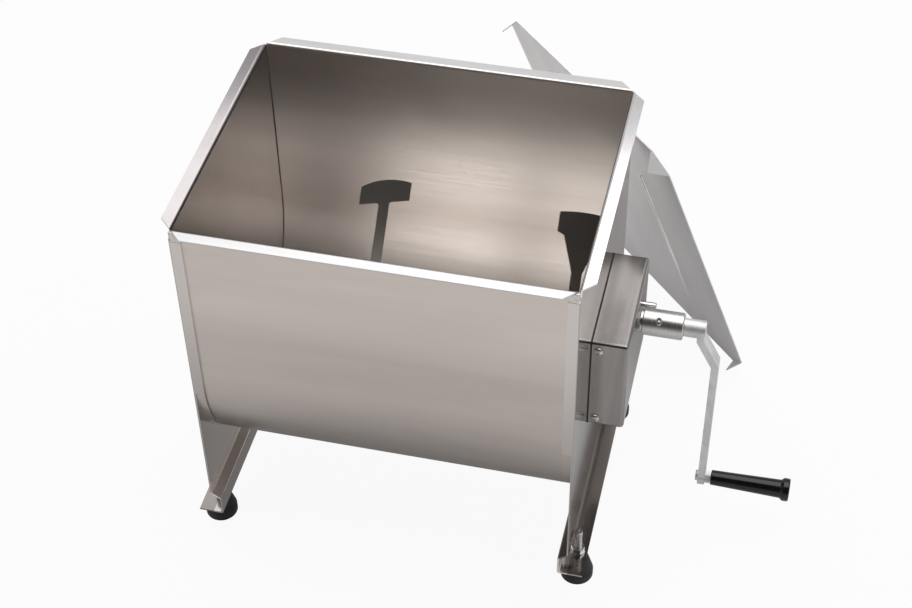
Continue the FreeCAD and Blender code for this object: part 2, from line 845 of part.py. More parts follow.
def grip_ferrule():
    """Hexagon collar between the arm and the grip."""
    corners = []
    for i in range(6):
        turn = math.radians(60 * i)
        corners.append(V(ferrule_start, ferrule_radius * math.cos(turn), grip_height + ferrule_radius * math.sin(turn)))
    body = Part.Face(Part.makePolygon(corners + corners[:1])).extrude(V(ferrule_length, 0, 0))
    margin = 1.0
    return body.cut(rod(spindle_radius, ferrule_start - margin, ferrule_start + ferrule_length + margin, 0, grip_height))


def grip():
    """Turned grip, thicker outwards, with a flared rim and a recess for the spindle's head."""
    rim_start = grip_end - grip_rim_length
    corners = [
        (grip_start, spindle_radius + running_clearance, 0),
        (grip_start, grip_inner_radius, 1.2),
        (rim_start - 3.0, grip_outer_radius, 2.0),
        (rim_start, grip_rim_radius, 2.0),
        (grip_end, grip_rim_radius, 2.0),
        (grip_end, grip_recess_radius, 0),
        (grip_end - grip_end_recess, grip_recess_radius, 0),
        (grip_end - grip_end_recess, spindle_radius + running_clearance, 0),
    ]
    wire = rounded_wire(corners, lambda p: V(p.x, 0, grip_height + p.y))
    return Part.Face(wire).revolve(V(0, 0, grip_height), V(1, 0, 0), 360)


def lid_lean():
    """Angle from upright at which the lid meets the back corner of the right end plate."""
    turn = math.radians(lid_heading)
    gap_x = lid_corner_x - plate_outer
    gap_y = lid_corner_y - plate_half
    distance = gap_x * math.cos(turn) + gap_y * math.sin(turn)
    return math.asin((distance - lid_clearance) / lid_length)


def lid():
    """Flat sheet with its corners folded over and two pressed beads; built flat, then stood up."""
    fold = lid_corner_fold
    outline = [
        V(fold, 0, 0), V(lid_width - fold, 0, 0), V(lid_width, fold, 0), V(lid_width, lid_length - fold, 0),
        V(lid_width - fold, lid_length, 0), V(fold, lid_length, 0), V(0, lid_length - fold, 0), V(0, fold, 0),
    ]
    body = Part.Face(Part.makePolygon(outline + outline[:1])).extrude(V(0, 0, lid_sheet))
    tabs = []
    for i in range(1, 8, 2):
        first = outline[i]
        second = outline[(i + 1) % 8]
        middle = (first + second) * 0.5
        apex = middle - V(0, 0, fold / math.sqrt(2))
        inward = V(lid_width / 2, lid_length / 2, 0).sub(middle)
        along = second.sub(first)
        square = V(-along.y, along.x, 0)
        square.normalize()
        if square.dot(inward) < 0:
            square = square * -1
        top = V(0, 0, lid_sheet)
        corners = [first + top, second + top, second, apex, first]
        face = Part.Face(Part.makePolygon(corners + corners[:1]))
        tabs.append(face.extrude(square * lid_sheet))
    for side in (-1, 1):
        x = lid_width / 2 + side * lid_bead_spacing / 2
        bead = Part.makeCylinder(lid_bead_radius, lid_bead_length, V(x, lid_bead_start, 0), V(0, 1, 0))
        bead = bead.fuse([Part.makeSphere(lid_bead_radius, V(x, y, 0)) for y in
                          (lid_bead_start, lid_bead_start + lid_bead_length)])
        tabs.append(bead.cut(block((0, 0, 0), (lid_width, lid_length, 2 * lid_bead_radius))))
    body = body.fuse(tabs).removeSplitter()
    lean = math.degrees(lid_lean())
    body.rotate(V(0, 0, 0), V(1, 0, 0), 90)
    body.rotate(V(0, 0, 0), V(1, 0, 0), -lean)
    body.rotate(V(0, 0, 0), V(0, 0, 1), 90 + lid_heading)
    body.translate(V(lid_corner_x, lid_corner_y, 0))
    body.translate(V(0, 0, -body.BoundBox.ZMin))
    return body


os.makedirs("parts", exist_ok=True)

right_plate = end_plate()
left_plate = mirror_x(right_plate)
right_plate_bush = shaft_bush()
right_bush_screws = bush_screws()
foot_nuts, foot_washers = foot_fasteners()

export("trough", trough())
export("right_end_plate", right_plate)
export("left_end_plate", left_plate)
export("right_shaft_bush", right_plate_bush)
export("left_shaft_bush", mirror_x(right_plate_bush))
export("bush_screws", right_bush_screws + [mirror_x(s) for s in right_bush_screws])

foot_names = ("front_left", "back_left", "front_right", "back_right")
for foot_name, (foot_x, foot_y) in zip(foot_names, foot_places()):
    export("foot_pad_" + foot_name, foot_pad(foot_x, foot_y))
export("foot_studs", [foot_stud(x, y) for x, y in foot_places()])
export("foot_nuts", foot_nuts)
export("foot_washers", foot_washers)

export("mixing_shaft", mixing_shaft())
for number, (blade_x, blade_angle) in enumerate(zip(blade_positions, blade_angles), 1):
    make_blade = fan_blade if number in (1, len(blade_positions)) else tee_blade
    export("blade_%d" % number, make_blade(blade_x, blade_angle))
export("drive_gear", drive_gear())
export("drive_key", drive_key())
export("gear_ring", retaining_ring(gear_end))
export("left_end_ring", retaining_ring(-(bush_end + end_float + ring_thickness)))

export("gear_case", case_cover())
export("case_bracket_front", case_bracket(-1))
export("case_bracket_back", case_bracket(1))
export("case_screws", case_screws())
export("pinion_block", pinion_block())
export("case_bush", case_bush())
export("stop_pin", stop_pin())

export("pinion", pinion())
export("pinion_pin", pinion_pin())
export("crank_shaft", crank_shaft())
export("thrust_washer", thrust_washer())
export("crank_sleeve", crank_sleeve())
export("sleeve_screw", sleeve_screw())
export("crank_arm", crank_arm())
export("grip_spindle", grip_spindle())
export("grip_ferrule", grip_ferrule())
export("grip", grip())

export("lid", lid())
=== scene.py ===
"""Looks of the hand-crank meat mixer: finishes with painted light and shade, welds, seams of painted shadow,
threads, screw heads, studio and camera.
"""
import math

import bmesh
import bpy
from bpy.props import FloatProperty, FloatVectorProperty, IntProperty, PointerProperty
from mathutils import Matrix, Vector


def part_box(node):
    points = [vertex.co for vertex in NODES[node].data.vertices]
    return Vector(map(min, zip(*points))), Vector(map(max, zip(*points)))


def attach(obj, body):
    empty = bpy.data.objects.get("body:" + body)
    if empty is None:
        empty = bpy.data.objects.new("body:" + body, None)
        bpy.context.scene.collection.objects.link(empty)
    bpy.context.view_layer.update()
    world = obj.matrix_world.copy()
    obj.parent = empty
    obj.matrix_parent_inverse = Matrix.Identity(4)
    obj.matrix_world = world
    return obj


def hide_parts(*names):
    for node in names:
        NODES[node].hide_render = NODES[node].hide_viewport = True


bl_info = {
    "name": "Hand-crank meat mixer",
    "version": (1, 0, 0),
    "blender": (4, 5, 0),
    "location": "View3D > Sidebar > Mixer",
    "description": "Dresses the packed meat mixer with its finishes and small details",
    "category": "Object",
}

# Boxes of the CAD nodes, in metres
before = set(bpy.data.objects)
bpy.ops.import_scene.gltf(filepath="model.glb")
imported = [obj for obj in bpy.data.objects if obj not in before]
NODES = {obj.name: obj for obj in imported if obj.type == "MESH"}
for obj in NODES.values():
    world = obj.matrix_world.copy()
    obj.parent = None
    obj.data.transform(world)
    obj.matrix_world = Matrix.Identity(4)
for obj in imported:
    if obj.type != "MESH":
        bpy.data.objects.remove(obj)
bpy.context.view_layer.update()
TROUGH_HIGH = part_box("trough")[1]
PLATE_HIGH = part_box("right_end_plate")[1]
CASE_LOW, CASE_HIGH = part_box("gear_case")
SCREWS_LOW, SCREWS_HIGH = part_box("case_screws")
STUDS_LOW, STUDS_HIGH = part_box("foot_studs")
NUTS_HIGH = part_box("foot_nuts")[1]

MM = 0.001

# The trough
HALF_LENGTH = TROUGH_HIGH[0]
RIM_HEIGHT = TROUGH_HIGH[2]
SHAFT_HEIGHT = 244.0 * MM
SHAFT_CENTRE = (0.0, 0.0, SHAFT_HEIGHT)
INNER_RADIUS = 154.0 * MM
OUTER_RADIUS = INNER_RADIUS + 1.5 * MM
ALONG_TROUGH = (1.0, 0.0, 0.0)

# Where the painted light and shade on the trough and end plates change
TROUGH_WALL = INNER_RADIUS + 0.8 * MM
PLATE_WALL = HALF_LENGTH + 1.2 * MM
PLATE_INSIDE = INNER_RADIUS - 0.5 * MM
PLATE_REACH = 100.0 * MM
LIP_FOLD = 12.5 * MM
LIP_SHEET = 1.8 * MM
FLANGE_LOW = SHAFT_HEIGHT - OUTER_RADIUS - 0.5 * MM
FLANGE_HIGH = RIM_HEIGHT - LIP_FOLD
JOGGLE_HEIGHT = 66.0 * MM
JOGGLE_REACH = 3.8 * MM
LEG_HIGH = 300.0 * MM
LEG_LOW = 80.0 * MM
CURVE_HIGH = 420.0 * MM
CURVE_LOW = 120.0 * MM
RIM_SHADE_LOW = 330.0 * MM
RIM_SHADE_HIGH = 440.0 * MM
ACROSS = (0.0, 1.0, 0.0)
ROUND_SHAFT = (0.0, 1.0, 1.0)

# Tints, and the lightness of a finish beside the one it is taken from; the cool and lip tints paint sheen on
# lips, the seam share a shadow line and the bead share a highlight
NO_TINT = (1.0, 1.0, 1.0)
WARM_TINT = (1.0, 0.955, 0.93)
COOL_SHEEN_TINT = (0.98, 1.08, 1.17)
LIP_SHEEN_TINT = (1.0, 1.0, 1.06)
WELD_SHARE = 0.95
SEAM_SHADOW_SHARE = 0.7
BEAD_HIGHLIGHT_SHARE = 1.1
GEAR_SHARE = 0.75

# Flange tails, welds, closed corners, and inner seams that paint a shadow line
TAIL_SIZE = (10.0 * MM, 1.9 * MM, 1.0)
TAIL_X = HALF_LENGTH - 5.0 * MM
TAIL_RADIUS = OUTER_RADIUS + 1.05 * MM
TAIL_START = math.asin(12.0 * MM / TAIL_RADIUS)
TAIL_END = math.radians(27.0)
TAIL_STEPS = 24
WELD_X = HALF_LENGTH - 1.0 * MM
CORNER_SIZE = (11.6 * MM, 1.9 * MM, 12.5 * MM)
CORNER_PLACE = (HALF_LENGTH - 4.3 * MM, OUTER_RADIUS + 0.9 * MM, RIM_HEIGHT - 8.2 * MM)
CORNER_ROUND = 0.4 * MM
SEAM_X = HALF_LENGTH - 0.3 * MM
SEAM_Y = INNER_RADIUS - 0.3 * MM
SEAM_TOP = RIM_HEIGHT - 3.5 * MM

# The lid's stand and its beads
LID_CORNER = (354.0 * MM, 221.0 * MM, 0.0)
LID_HEADING = math.radians(133.2)
LID_RISE = math.radians(69.03)
LID_SHEET = 1.2 * MM
LID_BEAD_PLACES = (86.5 * MM, 233.5 * MM)
LID_BEAD_START = 87.0 * MM
LID_BEAD_LENGTH = 241.0 * MM

# Screws and studs; the lower (-1) and upper (1) screws of the case are turned by these radians
SCREW_TURNS = ((-1, 0.4), (1, 1.1))
SLEEVE_SCREW_SHARE = 0.6
SLEEVE_SCREW_SINK = 0.6 * MM
SLEEVE_SCREW_LEAN = math.radians(45.0)
STUD_RADIUS = 4.0 * MM

# Noise: scales per metre, tones of a moulded skin, what the middle spans, and the grain's depth and gloss
EVEN_GRAIN = (400.0, 400.0, 400.0)
SKIN_PATCHES = (40.0, 40.0, 40.0)
SKIN_TONES = (0.8, 1.3)
NOISE_LOW = 0.3
NOISE_HIGH = 0.7
GRAIN_DEPTH = 0.4 * MM
GLOSS_SPREAD = 0.15

# Sockets of the Mix node when it mixes colours
MIX_FACTOR = 0
MIX_FIRST = 6
MIX_SECOND = 7
MIX_RESULT = 2

# The camera's sensor, in millimetres
SENSOR_WIDTH = 36.0

# Cosines of the angle from the camera between which the dark side fades in
FADE_START = 0.55
FADE_END = 0.92

# Studio, in metres
CLIP_END = 60.0
FLOOR_SIZE = 12.0
CEILING_PLACE = (0.2, 0.3, 2.3)
CEILING_SIZE = (3.2, 1.9)
BACK_PLACE = (0.2, 1.75, 2.3)
BACK_SIZE = (3.2, 1.0)


def colour_property(name, description, default):
    """A colour that a user would change."""
    return FloatVectorProperty(name=name, description=description, subtype="COLOR", size=3,
                               min=0.0, max=1.0, default=default)


def length_property(name, description, default):
    """A length in metres that a user would change."""
    return FloatProperty(name=name, description=description, subtype="DISTANCE", unit="LENGTH",
                         min=0.0, default=default)


def angle_property(name, description, degrees):
    """An angle that a user would change."""
    return FloatProperty(name=name, description=description, subtype="ANGLE", unit="ROTATION",
                         default=math.radians(degrees))


def factor_property(name, description, default):
    """A share from 0 to 1 that a user would change."""
    return FloatProperty(name=name, description=description, subtype="FACTOR", min=0.0, max=1.0,
                         default=default)


def tone_property(name, description, default):
    """A factor on a colour's lightness that a user would change."""
    return FloatProperty(name=name, description=description, min=0.0, max=4.0, default=default)


def power_property(name, description, default):
    """A lamp's power that a user would change."""
    return FloatProperty(name=name, description=description, unit="POWER", min=0.0, default=default)


def count_property(name, description, least, default):
    """A number of faces that a user would change."""
    return IntProperty(name=name, description=description, min=least, default=default)


class MixerFinishes(bpy.types.PropertyGroup):
    """Colours and gloss of the mixer's finishes, and the tones that paint light and shade onto parts of the
    trough and end plates.
    """
    trough_steel: colour_property("Trough steel", "Satin sheet of the trough", (0.83, 0.782, 0.745))
    plate_steel: colour_property("Plate steel", "Sheet of the end plates", (0.50, 0.465, 0.445))
    case_steel: colour_property("Case steel", "Sheet of the gear case", (0.37, 0.345, 0.335))
    lid_steel: colour_property("Lid steel", "Sheet of the lid", (0.985, 0.955, 0.98))
    turned_steel: colour_property("Turned steel", "Crank sleeve and shafts", (0.70, 0.685, 0.665))
    blade_steel: colour_property("Blade steel", "Mixing blades", (0.40, 0.375, 0.345))
    fastener_steel: colour_property("Fastener steel", "Screws, nuts and studs", (0.70, 0.69, 0.68))
    plated_arm: colour_property("Plated arm", "Zinc plate of the crank arm", (0.87, 0.865, 0.86))
    rubber: colour_property("Rubber", "Foot pads", (0.022, 0.022, 0.023))
    grip: colour_property("Grip", "Moulded grip", (0.006, 0.006, 0.007))
    nylon: colour_property("Nylon", "Shaft bushes", (0.80, 0.79, 0.74))
    trough_roughness: factor_property("Trough roughness", "Gloss of the trough's sheet", 0.34)
    plate_roughness: factor_property("Plate roughness", "Gloss of the end plates", 0.13)
    lid_roughness: factor_property("Lid roughness", "Gloss of the lid", 0.40)
    lid_metallic: factor_property("Lid metallic", "How much the lid mirrors rather than scatters", 0.22)
    # Painted light and shade: the tones below make parts of the same sheet lighter or darker, and tint the
    # lips, for how light falls on them
    rim_shade_tone: tone_property("Rim tone", "Trough's inside just below the rim", 0.66)
    curve_shade_tone: tone_property("Curve tone", "Trough's outside at its lowest", 0.52)
    trough_lip_shade_tone: tone_property("Trough lip tone", "Trough's front and back lips", 0.82)
    inner_shade_tone: tone_property("Inner tone", "End plates' inner faces", 0.43)
    flange_highlight_tone: tone_property("Flange tone", "End plates' flanges on the trough's walls", 1.6)
    leg_inner_light_tone: tone_property("Leg inner tone", "Inner faces of the legs", 1.2)
    leg_outer_shade_tone: tone_property("Leg outer tone", "Outer faces of the legs", 0.62)
    right_joggle_shade_tone: tone_property("Right joggle tone", "Right end plate's step above its feet", 0.42)
    left_joggle_light_tone: tone_property("Left joggle tone", "Left end plate's step above its feet", 1.66)
    right_foot_light_tone: tone_property("Right foot tone", "Right end plate's foot channel", 1.6)
    left_foot_shade_tone: tone_property("Left foot tone", "Left end plate's foot channel", 0.68)
    # The lips are the plates' own sheet; their extra lightness and cool tint are painted highlight and sheen
    right_lip_highlight_tone: tone_property("Right lip tone", "Right end plate's polished lip", 2.1)
    left_lip_sheen_tone: tone_property("Left lip tone", "Left end plate's polished lip", 1.02)


class MixerDetails(bpy.types.PropertyGroup):
    """Sizes of the small details."""
    # The seal's dark frame also paints the shadow line in the gap between case and end plate
    seal_width: length_property("Seal width", "Thickness of the seal between case and end plate", 1.0 * MM)
    seal_proud: length_property("Seal proud", "How far the seal shows past the gear case", 0.25 * MM)
    seal_depth: length_property("Seal depth", "Width of the seal's frame", 1.4 * MM)
    seal_corner: length_property("Seal corner", "Radius of the seal's corners", 4.0 * MM)
    screw_radius: length_property("Screw radius", "Radius of the gear case's screw heads", 5.0 * MM)
    screw_height: length_property("Screw height", "Height of the gear case's screw heads", 3.2 * MM)
    recess_width: length_property("Recess width", "Width of one bar of the cross recess", 1.3 * MM)
    recess_length: length_property("Recess length", "Length of one bar of the cross recess", 5.6 * MM)
    thread_pitch: length_property("Thread pitch", "Rise of the foot studs' thread in one turn", 1.25 * MM)
    thread_radius: length_property("Thread radius", "Radius of the thread's ridge", 0.45 * MM)
    thread_steps: count_property("Thread steps", "Faces round one turn of the thread", 6, 14)
    weld_radius: length_property("Weld radius", "Radius of the weld along the trough's ends", 1.4 * MM)
    weld_steps: count_property("Weld steps", "Faces along the weld or seam of one end", 12, 72)
    # The inner seam is a dark rod of painted shadow along the joint
    inner_seam_shadow_radius: length_property("Inner seam radius", "Radius of the seam inside the ends", 0.45 * MM)
    bead_radius: length_property("Bead radius", "Radius of the bright crest of the lid's beads", 2.4 * MM)


class MixerStage(bpy.types.PropertyGroup):
    """Camera, lamps and floor."""
    camera_place: FloatVectorProperty(name="Camera place", description="Where the camera stands",
                                      subtype="TRANSLATION", unit="LENGTH", size=3,
                                      default=(0.37927, -1.35011, 1.6177))
    azimuth: angle_property("Azimuth", "Turn of the camera about the vertical", 13.949)
    elevation: angle_property("Elevation", "Angle the camera looks down at", 44.215)
    roll: angle_property("Roll", "Turn of the camera about its own axis", -1.069)
    focal_length: FloatProperty(name="Focal length", description="Lens on a 36 mm wide sensor",
                                unit="CAMERA", default=71.39)
    floor_tone: factor_property("Floor tone", "Grey of the floor", 0.76)
    floor_glow: factor_property("Floor glow", "Share of plain white that the camera sees on the floor", 0.94)
    floor_mirror: factor_property("Floor mirror", "Share of plain white that the metal sees there", 0.18)
    sky_level: factor_property("Sky level", "Brightness of the studio's walls and ceiling", 0.55)
    dark_level: factor_property("Dark level", "Brightness of the dark side behind the camera", 0.05)
    lamp_power: power_property("Lamp power", "Power of the ceiling softbox", 35.0)
    back_power: power_property("Back power", "Power of the softbox behind", 13.0)


def finishes():
    """The finish settings of this scene."""
    return bpy.context.scene.mixer_finishes


def new_material(name):
    """A material with one surface shader; returns the material, its node tree and the shader."""
    material = bpy.data.materials.new(name)
    material.use_nodes = True
    tree = material.node_tree
    tree.nodes.clear()
    output = tree.nodes.new("ShaderNodeOutputMaterial")
    shader = tree.nodes.new("ShaderNodeBsdfPrincipled")
    tree.links.new(shader.outputs["BSDF"], output.inputs["Surface"])
    return material, tree, shader


def noise(tree, stretch, detail=3.0):
    """Noise on the piece's own coordinates; stretch is its scale along X, Y and Z, per metre."""
    coordinates = tree.nodes.new("ShaderNodeTexCoord")
    mapping = tree.nodes.new("ShaderNodeMapping")
    mapping.inputs["Scale"].default_value = stretch
    texture = tree.nodes.new("ShaderNodeTexNoise")
    texture.inputs["Scale"].default_value = 1.0
    texture.inputs["Detail"].default_value = detail
    tree.links.new(coordinates.outputs["Object"], mapping.inputs["Vector"])
    tree.links.new(mapping.outputs["Vector"], texture.inputs["Vector"])
    return texture.outputs["Fac"]


def spread(tree, source, low, high):
    """The middle of a noise spread over low to high."""
    node = tree.nodes.new("ShaderNodeMapRange")
    node.inputs["From Min"].default_value = NOISE_LOW
    node.inputs["From Max"].default_value = NOISE_HIGH
    node.inputs["To Min"].default_value = low
    node.inputs["To Max"].default_value = high
    tree.links.new(source, node.inputs["Value"])
    return node.outputs["Result"]


def two_tones(tree, source, first, second):
    """A colour that goes from first to second as source goes from 0 to 1."""
    node = tree.nodes.new("ShaderNodeMix")
    node.data_type = "RGBA"
    node.inputs[MIX_FIRST].default_value = (*first, 1.0)
    node.inputs[MIX_SECOND].default_value = (*second, 1.0)
    tree.links.new(source, node.inputs[MIX_FACTOR])
    return node.outputs[MIX_RESULT]


def relief(tree, shader, source, strength, depth):
    """Fine relief in the surface from a noise."""
    bump = tree.nodes.new("ShaderNodeBump")
    bump.inputs["Strength"].default_value = strength
    bump.inputs["Distance"].default_value = depth
    tree.links.new(source, bump.inputs["Height"])
    tree.links.new(bump.outputs["Normal"], shader.inputs["Normal"])


def calculate(tree, operation, *values):
    """A maths node on values, each a number or another node's output."""
    node = tree.nodes.new("ShaderNodeMath")
    node.operation = operation
    for socket, value in zip(node.inputs, values):
        if isinstance(value, bpy.types.NodeSocket):
            tree.links.new(value, socket)
        else:
            socket.default_value = value
    return node.outputs["Value"]


def both(tree, first, second):
    """1 where two masks are both 1."""
    return calculate(tree, "MULTIPLY", first, second)


def either(tree, first, second):
    """1 where one of two masks is 1."""
    return calculate(tree, "MAXIMUM", first, second)


def inverted(tree, mask):
    """1 where a mask is 0."""
    return calculate(tree, "SUBTRACT", 1.0, mask)


def own_coordinate(tree, axis):
    """The piece's own X, Y or Z."""
    coordinates = tree.nodes.new("ShaderNodeTexCoord")
    parts = tree.nodes.new("ShaderNodeSeparateXYZ")
    tree.links.new(coordinates.outputs["Object"], parts.inputs["Vector"])
    return parts.outputs[axis]


def nearby(tree, axis, middle, reach):
    """1 where the piece's own coordinate lies within reach of middle, else 0."""
    return calculate(tree, "COMPARE", own_coordinate(tree, axis), middle, reach)


def beyond(tree, axes, height, reach):
    """1 where the distance from the line at this height is more than reach; axes picks what counts."""
    coordinates = tree.nodes.new("ShaderNodeTexCoord")
    moved = tree.nodes.new("ShaderNodeVectorMath")
    moved.operation = "MULTIPLY_ADD"
    moved.inputs[1].default_value = axes
    moved.inputs[2].default_value = (0.0, 0.0, -height)
    length = tree.nodes.new("ShaderNodeVectorMath")
    length.operation = "LENGTH"
    tree.links.new(coordinates.outputs["Object"], moved.inputs[0])
    tree.links.new(moved.outputs["Vector"], length.inputs[0])
    return calculate(tree, "GREATER_THAN", length.outputs["Value"], reach)


def rising(tree, axis, low, high):
    """Goes smoothly from 0 to 1 as the piece's own coordinate goes from low to high."""
    ramp = tree.nodes.new("ShaderNodeMapRange")
    ramp.interpolation_type = "SMOOTHSTEP"
    ramp.inputs["From Min"].default_value = low
    ramp.inputs["From Max"].default_value = high
    tree.links.new(own_coordinate(tree, axis), ramp.inputs["Value"])
    return ramp.outputs["Result"]


def retone(tree, mask, share, tint=NO_TINT):
    """Make the base colour lighter or darker, and tinted, where the mask is 1."""
    socket = tree.nodes["Principled BSDF"].inputs["Base Color"]
    before = socket.links[0].from_socket
    gain = two_tones(tree, mask, NO_TINT, scaled(tint, share))
    product = tree.nodes.new("ShaderNodeVectorMath")
    product.operation = "MULTIPLY"
    tree.links.new(before, product.inputs[0])
    tree.links.new(gain, product.inputs[1])
    tree.links.new(product.outputs["Vector"], socket)


def scaled(colour, share):
    """A colour or tint made stronger or weaker."""
    return tuple(part * share for part in colour)


def capped(colour, share):
    """A colour made lighter or darker, and never more than white."""
    return tuple(min(1.0, part) for part in scaled(colour, share))


def brushed_metal(name, colour, roughness, grain, variation=0.05, relief_strength=0.02,
                  clouds=(7.0, 7.0, 7.0), metallic=1.0, gloss_spread=GLOSS_SPREAD):
    """Satin metal with a brushed grain; grain and clouds are noise scales along X, Y and Z."""
    material, tree, shader = new_material(name)
    patches = spread(tree, noise(tree, clouds), 0.0, 1.0)
    grain_noise = noise(tree, grain)
    tone = two_tones(tree, patches, capped(colour, 1 - variation), capped(colour, 1 + variation))
    gloss = spread(tree, grain_noise, roughness * (1 - gloss_spread), roughness * (1 + gloss_spread))
    tree.links.new(tone, shader.inputs["Base Color"])
    tree.links.new(gloss, shader.inputs["Roughness"])
    shader.inputs["Metallic"].default_value = metallic
    relief(tree, shader, grain_noise, relief_strength, GRAIN_DEPTH)
    return material


def moulded(name, colour, roughness, grain, relief_strength, relief_depth):
    """Rubber or plastic with a fine moulded skin."""
    material, tree, shader = new_material(name)
    skin = noise(tree, (grain, grain, grain), detail=4.0)
    patches = spread(tree, noise(tree, SKIN_PATCHES), 0.0, 1.0)
    tone = two_tones(tree, patches, *(capped(colour, share) for share in SKIN_TONES))
    gloss = spread(tree, patches, roughness * (1 - GLOSS_SPREAD), roughness * (1 + GLOSS_SPREAD))
    tree.links.new(tone, shader.inputs["Base Color"])
    tree.links.new(gloss, shader.inputs["Roughness"])
    relief(tree, shader, skin, relief_strength, relief_depth)
    return material


def finish_nodes(material, *names):
    """Give CAD nodes a finish in their own material slot."""
    for name in names:
        node = NODES[name]
        if not node.material_slots:
            node.data.materials.append(material)
        for place in node.material_slots:
            place.material = material


def add_piece(name, bm, material, body, smooth=True):
    """Turn a bmesh into a named piece that rides on a body."""
    mesh = bpy.data.meshes.new(name)
    bm.to_mesh(mesh)
    bm.free()
    mesh.materials.append(material)
    for face in mesh.polygons:
        face.use_smooth = smooth
    piece = bpy.data.objects.new(name, mesh)
    bpy.context.scene.collection.objects.link(piece)
    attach(piece, body)
    return piece


def sweep(bm, section, centre, axis, angle, steps, rise=(0.0, 0.0, 0.0)):
    """Spin a flat section about an axis; rise is how far each step also moves it."""
    edges = list({edge for vert in section for edge in vert.link_edges})
    faces = list({face for vert in section for face in vert.link_faces})
    bmesh.ops.spin(bm, geom=section + edges + faces, cent=centre, axis=axis, dvec=rise, angle=angle,
                   steps=steps)


def pull_out(bm, face, move, keep=False):
    """Extrude one face and move what was made; returns the new geometry."""
    made = bmesh.ops.extrude_face_region(bm, geom=[face], use_keep_orig=keep)["geom"]
    verts = [item for item in made if isinstance(item, bmesh.types.BMVert)]
    bmesh.ops.translate(bm, verts=verts, vec=move)
    return made


class MIXER_OT_trough(bpy.types.Operator):
    """Finish the trough, with its warm outside, painted shade on its curve and below the rim inside, and lips
    painted darker and cool for the light they catch
    """
    bl_idname = "mixer.trough"
    bl_label = "Trough"

    def execute(self, context):
        looks = finishes()
        satin = brushed_metal("trough_satin", looks.trough_steel, looks.trough_roughness,
                              grain=(6.0, 700.0, 700.0), variation=0.08, clouds=(2.0, 16.0, 16.0))
        tree = satin.node_tree
        # Painted shade: the inside is made darker towards the rim
        inside = both(tree, nearby(tree, "Y", 0.0, TROUGH_WALL),
                      rising(tree, "Z", RIM_SHADE_LOW, RIM_SHADE_HIGH))
        # Painted shade and sheen: the lips are made darker and cooler for the light they catch
        rim = both(tree, nearby(tree, "Z", RIM_HEIGHT, LIP_SHEET), beyond(tree, ACROSS, 0.0, OUTER_RADIUS))
        under = both(tree, beyond(tree, ROUND_SHAFT, SHAFT_HEIGHT, TROUGH_WALL),
                     nearby(tree, "Z", 0.0, SHAFT_HEIGHT))
        outside = either(tree, beyond(tree, ACROSS, 0.0, TROUGH_WALL), under)
        # Painted shade: the outside darkens towards the bottom of the curve, where it faces the shadowed
        # floor
        curve = both(tree, outside, rising(tree, "Z", CURVE_HIGH, CURVE_LOW))
        retone(tree, inside, looks.rim_shade_tone)
        retone(tree, rim, looks.trough_lip_shade_tone, COOL_SHEEN_TINT)
        retone(tree, outside, 1.0, WARM_TINT)
        retone(tree, curve, looks.curve_shade_tone)
        finish_nodes(satin, "trough")
        return {"FINISHED"}


class MIXER_OT_end_plates(bpy.types.Operator):
    """Finish the end plates, with painted light and shade on their inner faces, flanges, legs, joggles, feet
    and lips
    """
    bl_idname = "mixer.end_plates"
    bl_label = "End plates"

    def execute(self, context):
        looks = finishes()
        satin = brushed_metal("plate_satin", looks.plate_steel, looks.plate_roughness,
                              grain=(700.0, 700.0, 8.0), clouds=(20.0, 20.0, 2.0))
        tree = satin.node_tree
        right = nearby(tree, "X", PLATE_HIGH[0], PLATE_REACH)
        left = nearby(tree, "X", -PLATE_HIGH[0], PLATE_REACH)
        inward = nearby(tree, "X", 0.0, PLATE_WALL)
        round_part = inverted(tree, beyond(tree, ROUND_SHAFT, SHAFT_HEIGHT, PLATE_INSIDE))
        straight_part = both(tree, nearby(tree, "Y", 0.0, PLATE_INSIDE),
                             nearby(tree, "Z", 1.0, 1.0 - SHAFT_HEIGHT))
        inner_face = both(tree, inward, either(tree, round_part, straight_part))
        wall = nearby(tree, "Z", (FLANGE_LOW + FLANGE_HIGH) / 2, (FLANGE_HIGH - FLANGE_LOW) / 2)
        flange = both(tree, beyond(tree, ACROSS, 0.0, TROUGH_WALL), both(tree, wall, inward))
        # Painted shade: the flanges darken towards the bottom like the trough's curve
        low_flange = both(tree, flange, rising(tree, "Z", CURVE_HIGH, CURVE_LOW))
        leg = rising(tree, "Z", LEG_HIGH, LEG_LOW)
        leg_inside = both(tree, both(tree, inward, inverted(tree, inner_face)), leg)
        leg_outside = both(tree, inverted(tree, inward), leg)
        joggle = nearby(tree, "Z", JOGGLE_HEIGHT, JOGGLE_REACH)
        foot = nearby(tree, "Z", 0.0, JOGGLE_HEIGHT - JOGGLE_REACH)
        lip = nearby(tree, "Z", PLATE_HIGH[2], LIP_FOLD)
        # Painted shade: the inner faces are made darker and warmer
        retone(tree, inner_face, looks.inner_shade_tone, WARM_TINT)
        # Painted highlight: the flanges are made lighter
        retone(tree, flange, looks.flange_highlight_tone)
        retone(tree, low_flange, looks.curve_shade_tone)
        # Painted light on the legs' inner faces and painted shade on their outer faces
        retone(tree, leg_inside, looks.leg_inner_light_tone)
        retone(tree, leg_outside, looks.leg_outer_shade_tone)
        # Painted light and shade: the right joggle is made darker and the left one lighter
        retone(tree, both(tree, right, joggle), looks.right_joggle_shade_tone)
        retone(tree, both(tree, left, joggle), looks.left_joggle_light_tone)
        # Painted light and shade: the right foot channel is made lighter and the left one darker
        retone(tree, both(tree, right, foot), looks.right_foot_light_tone)
        retone(tree, both(tree, left, foot), looks.left_foot_shade_tone)
        # Painted highlight: the right lip is made much lighter, and both lips tinted cool
        retone(tree, both(tree, right, lip), looks.right_lip_highlight_tone, LIP_SHEEN_TINT)
        retone(tree, both(tree, left, lip), looks.left_lip_sheen_tone, LIP_SHEEN_TINT)
        finish_nodes(satin, "right_end_plate", "left_end_plate")
        return {"FINISHED"}


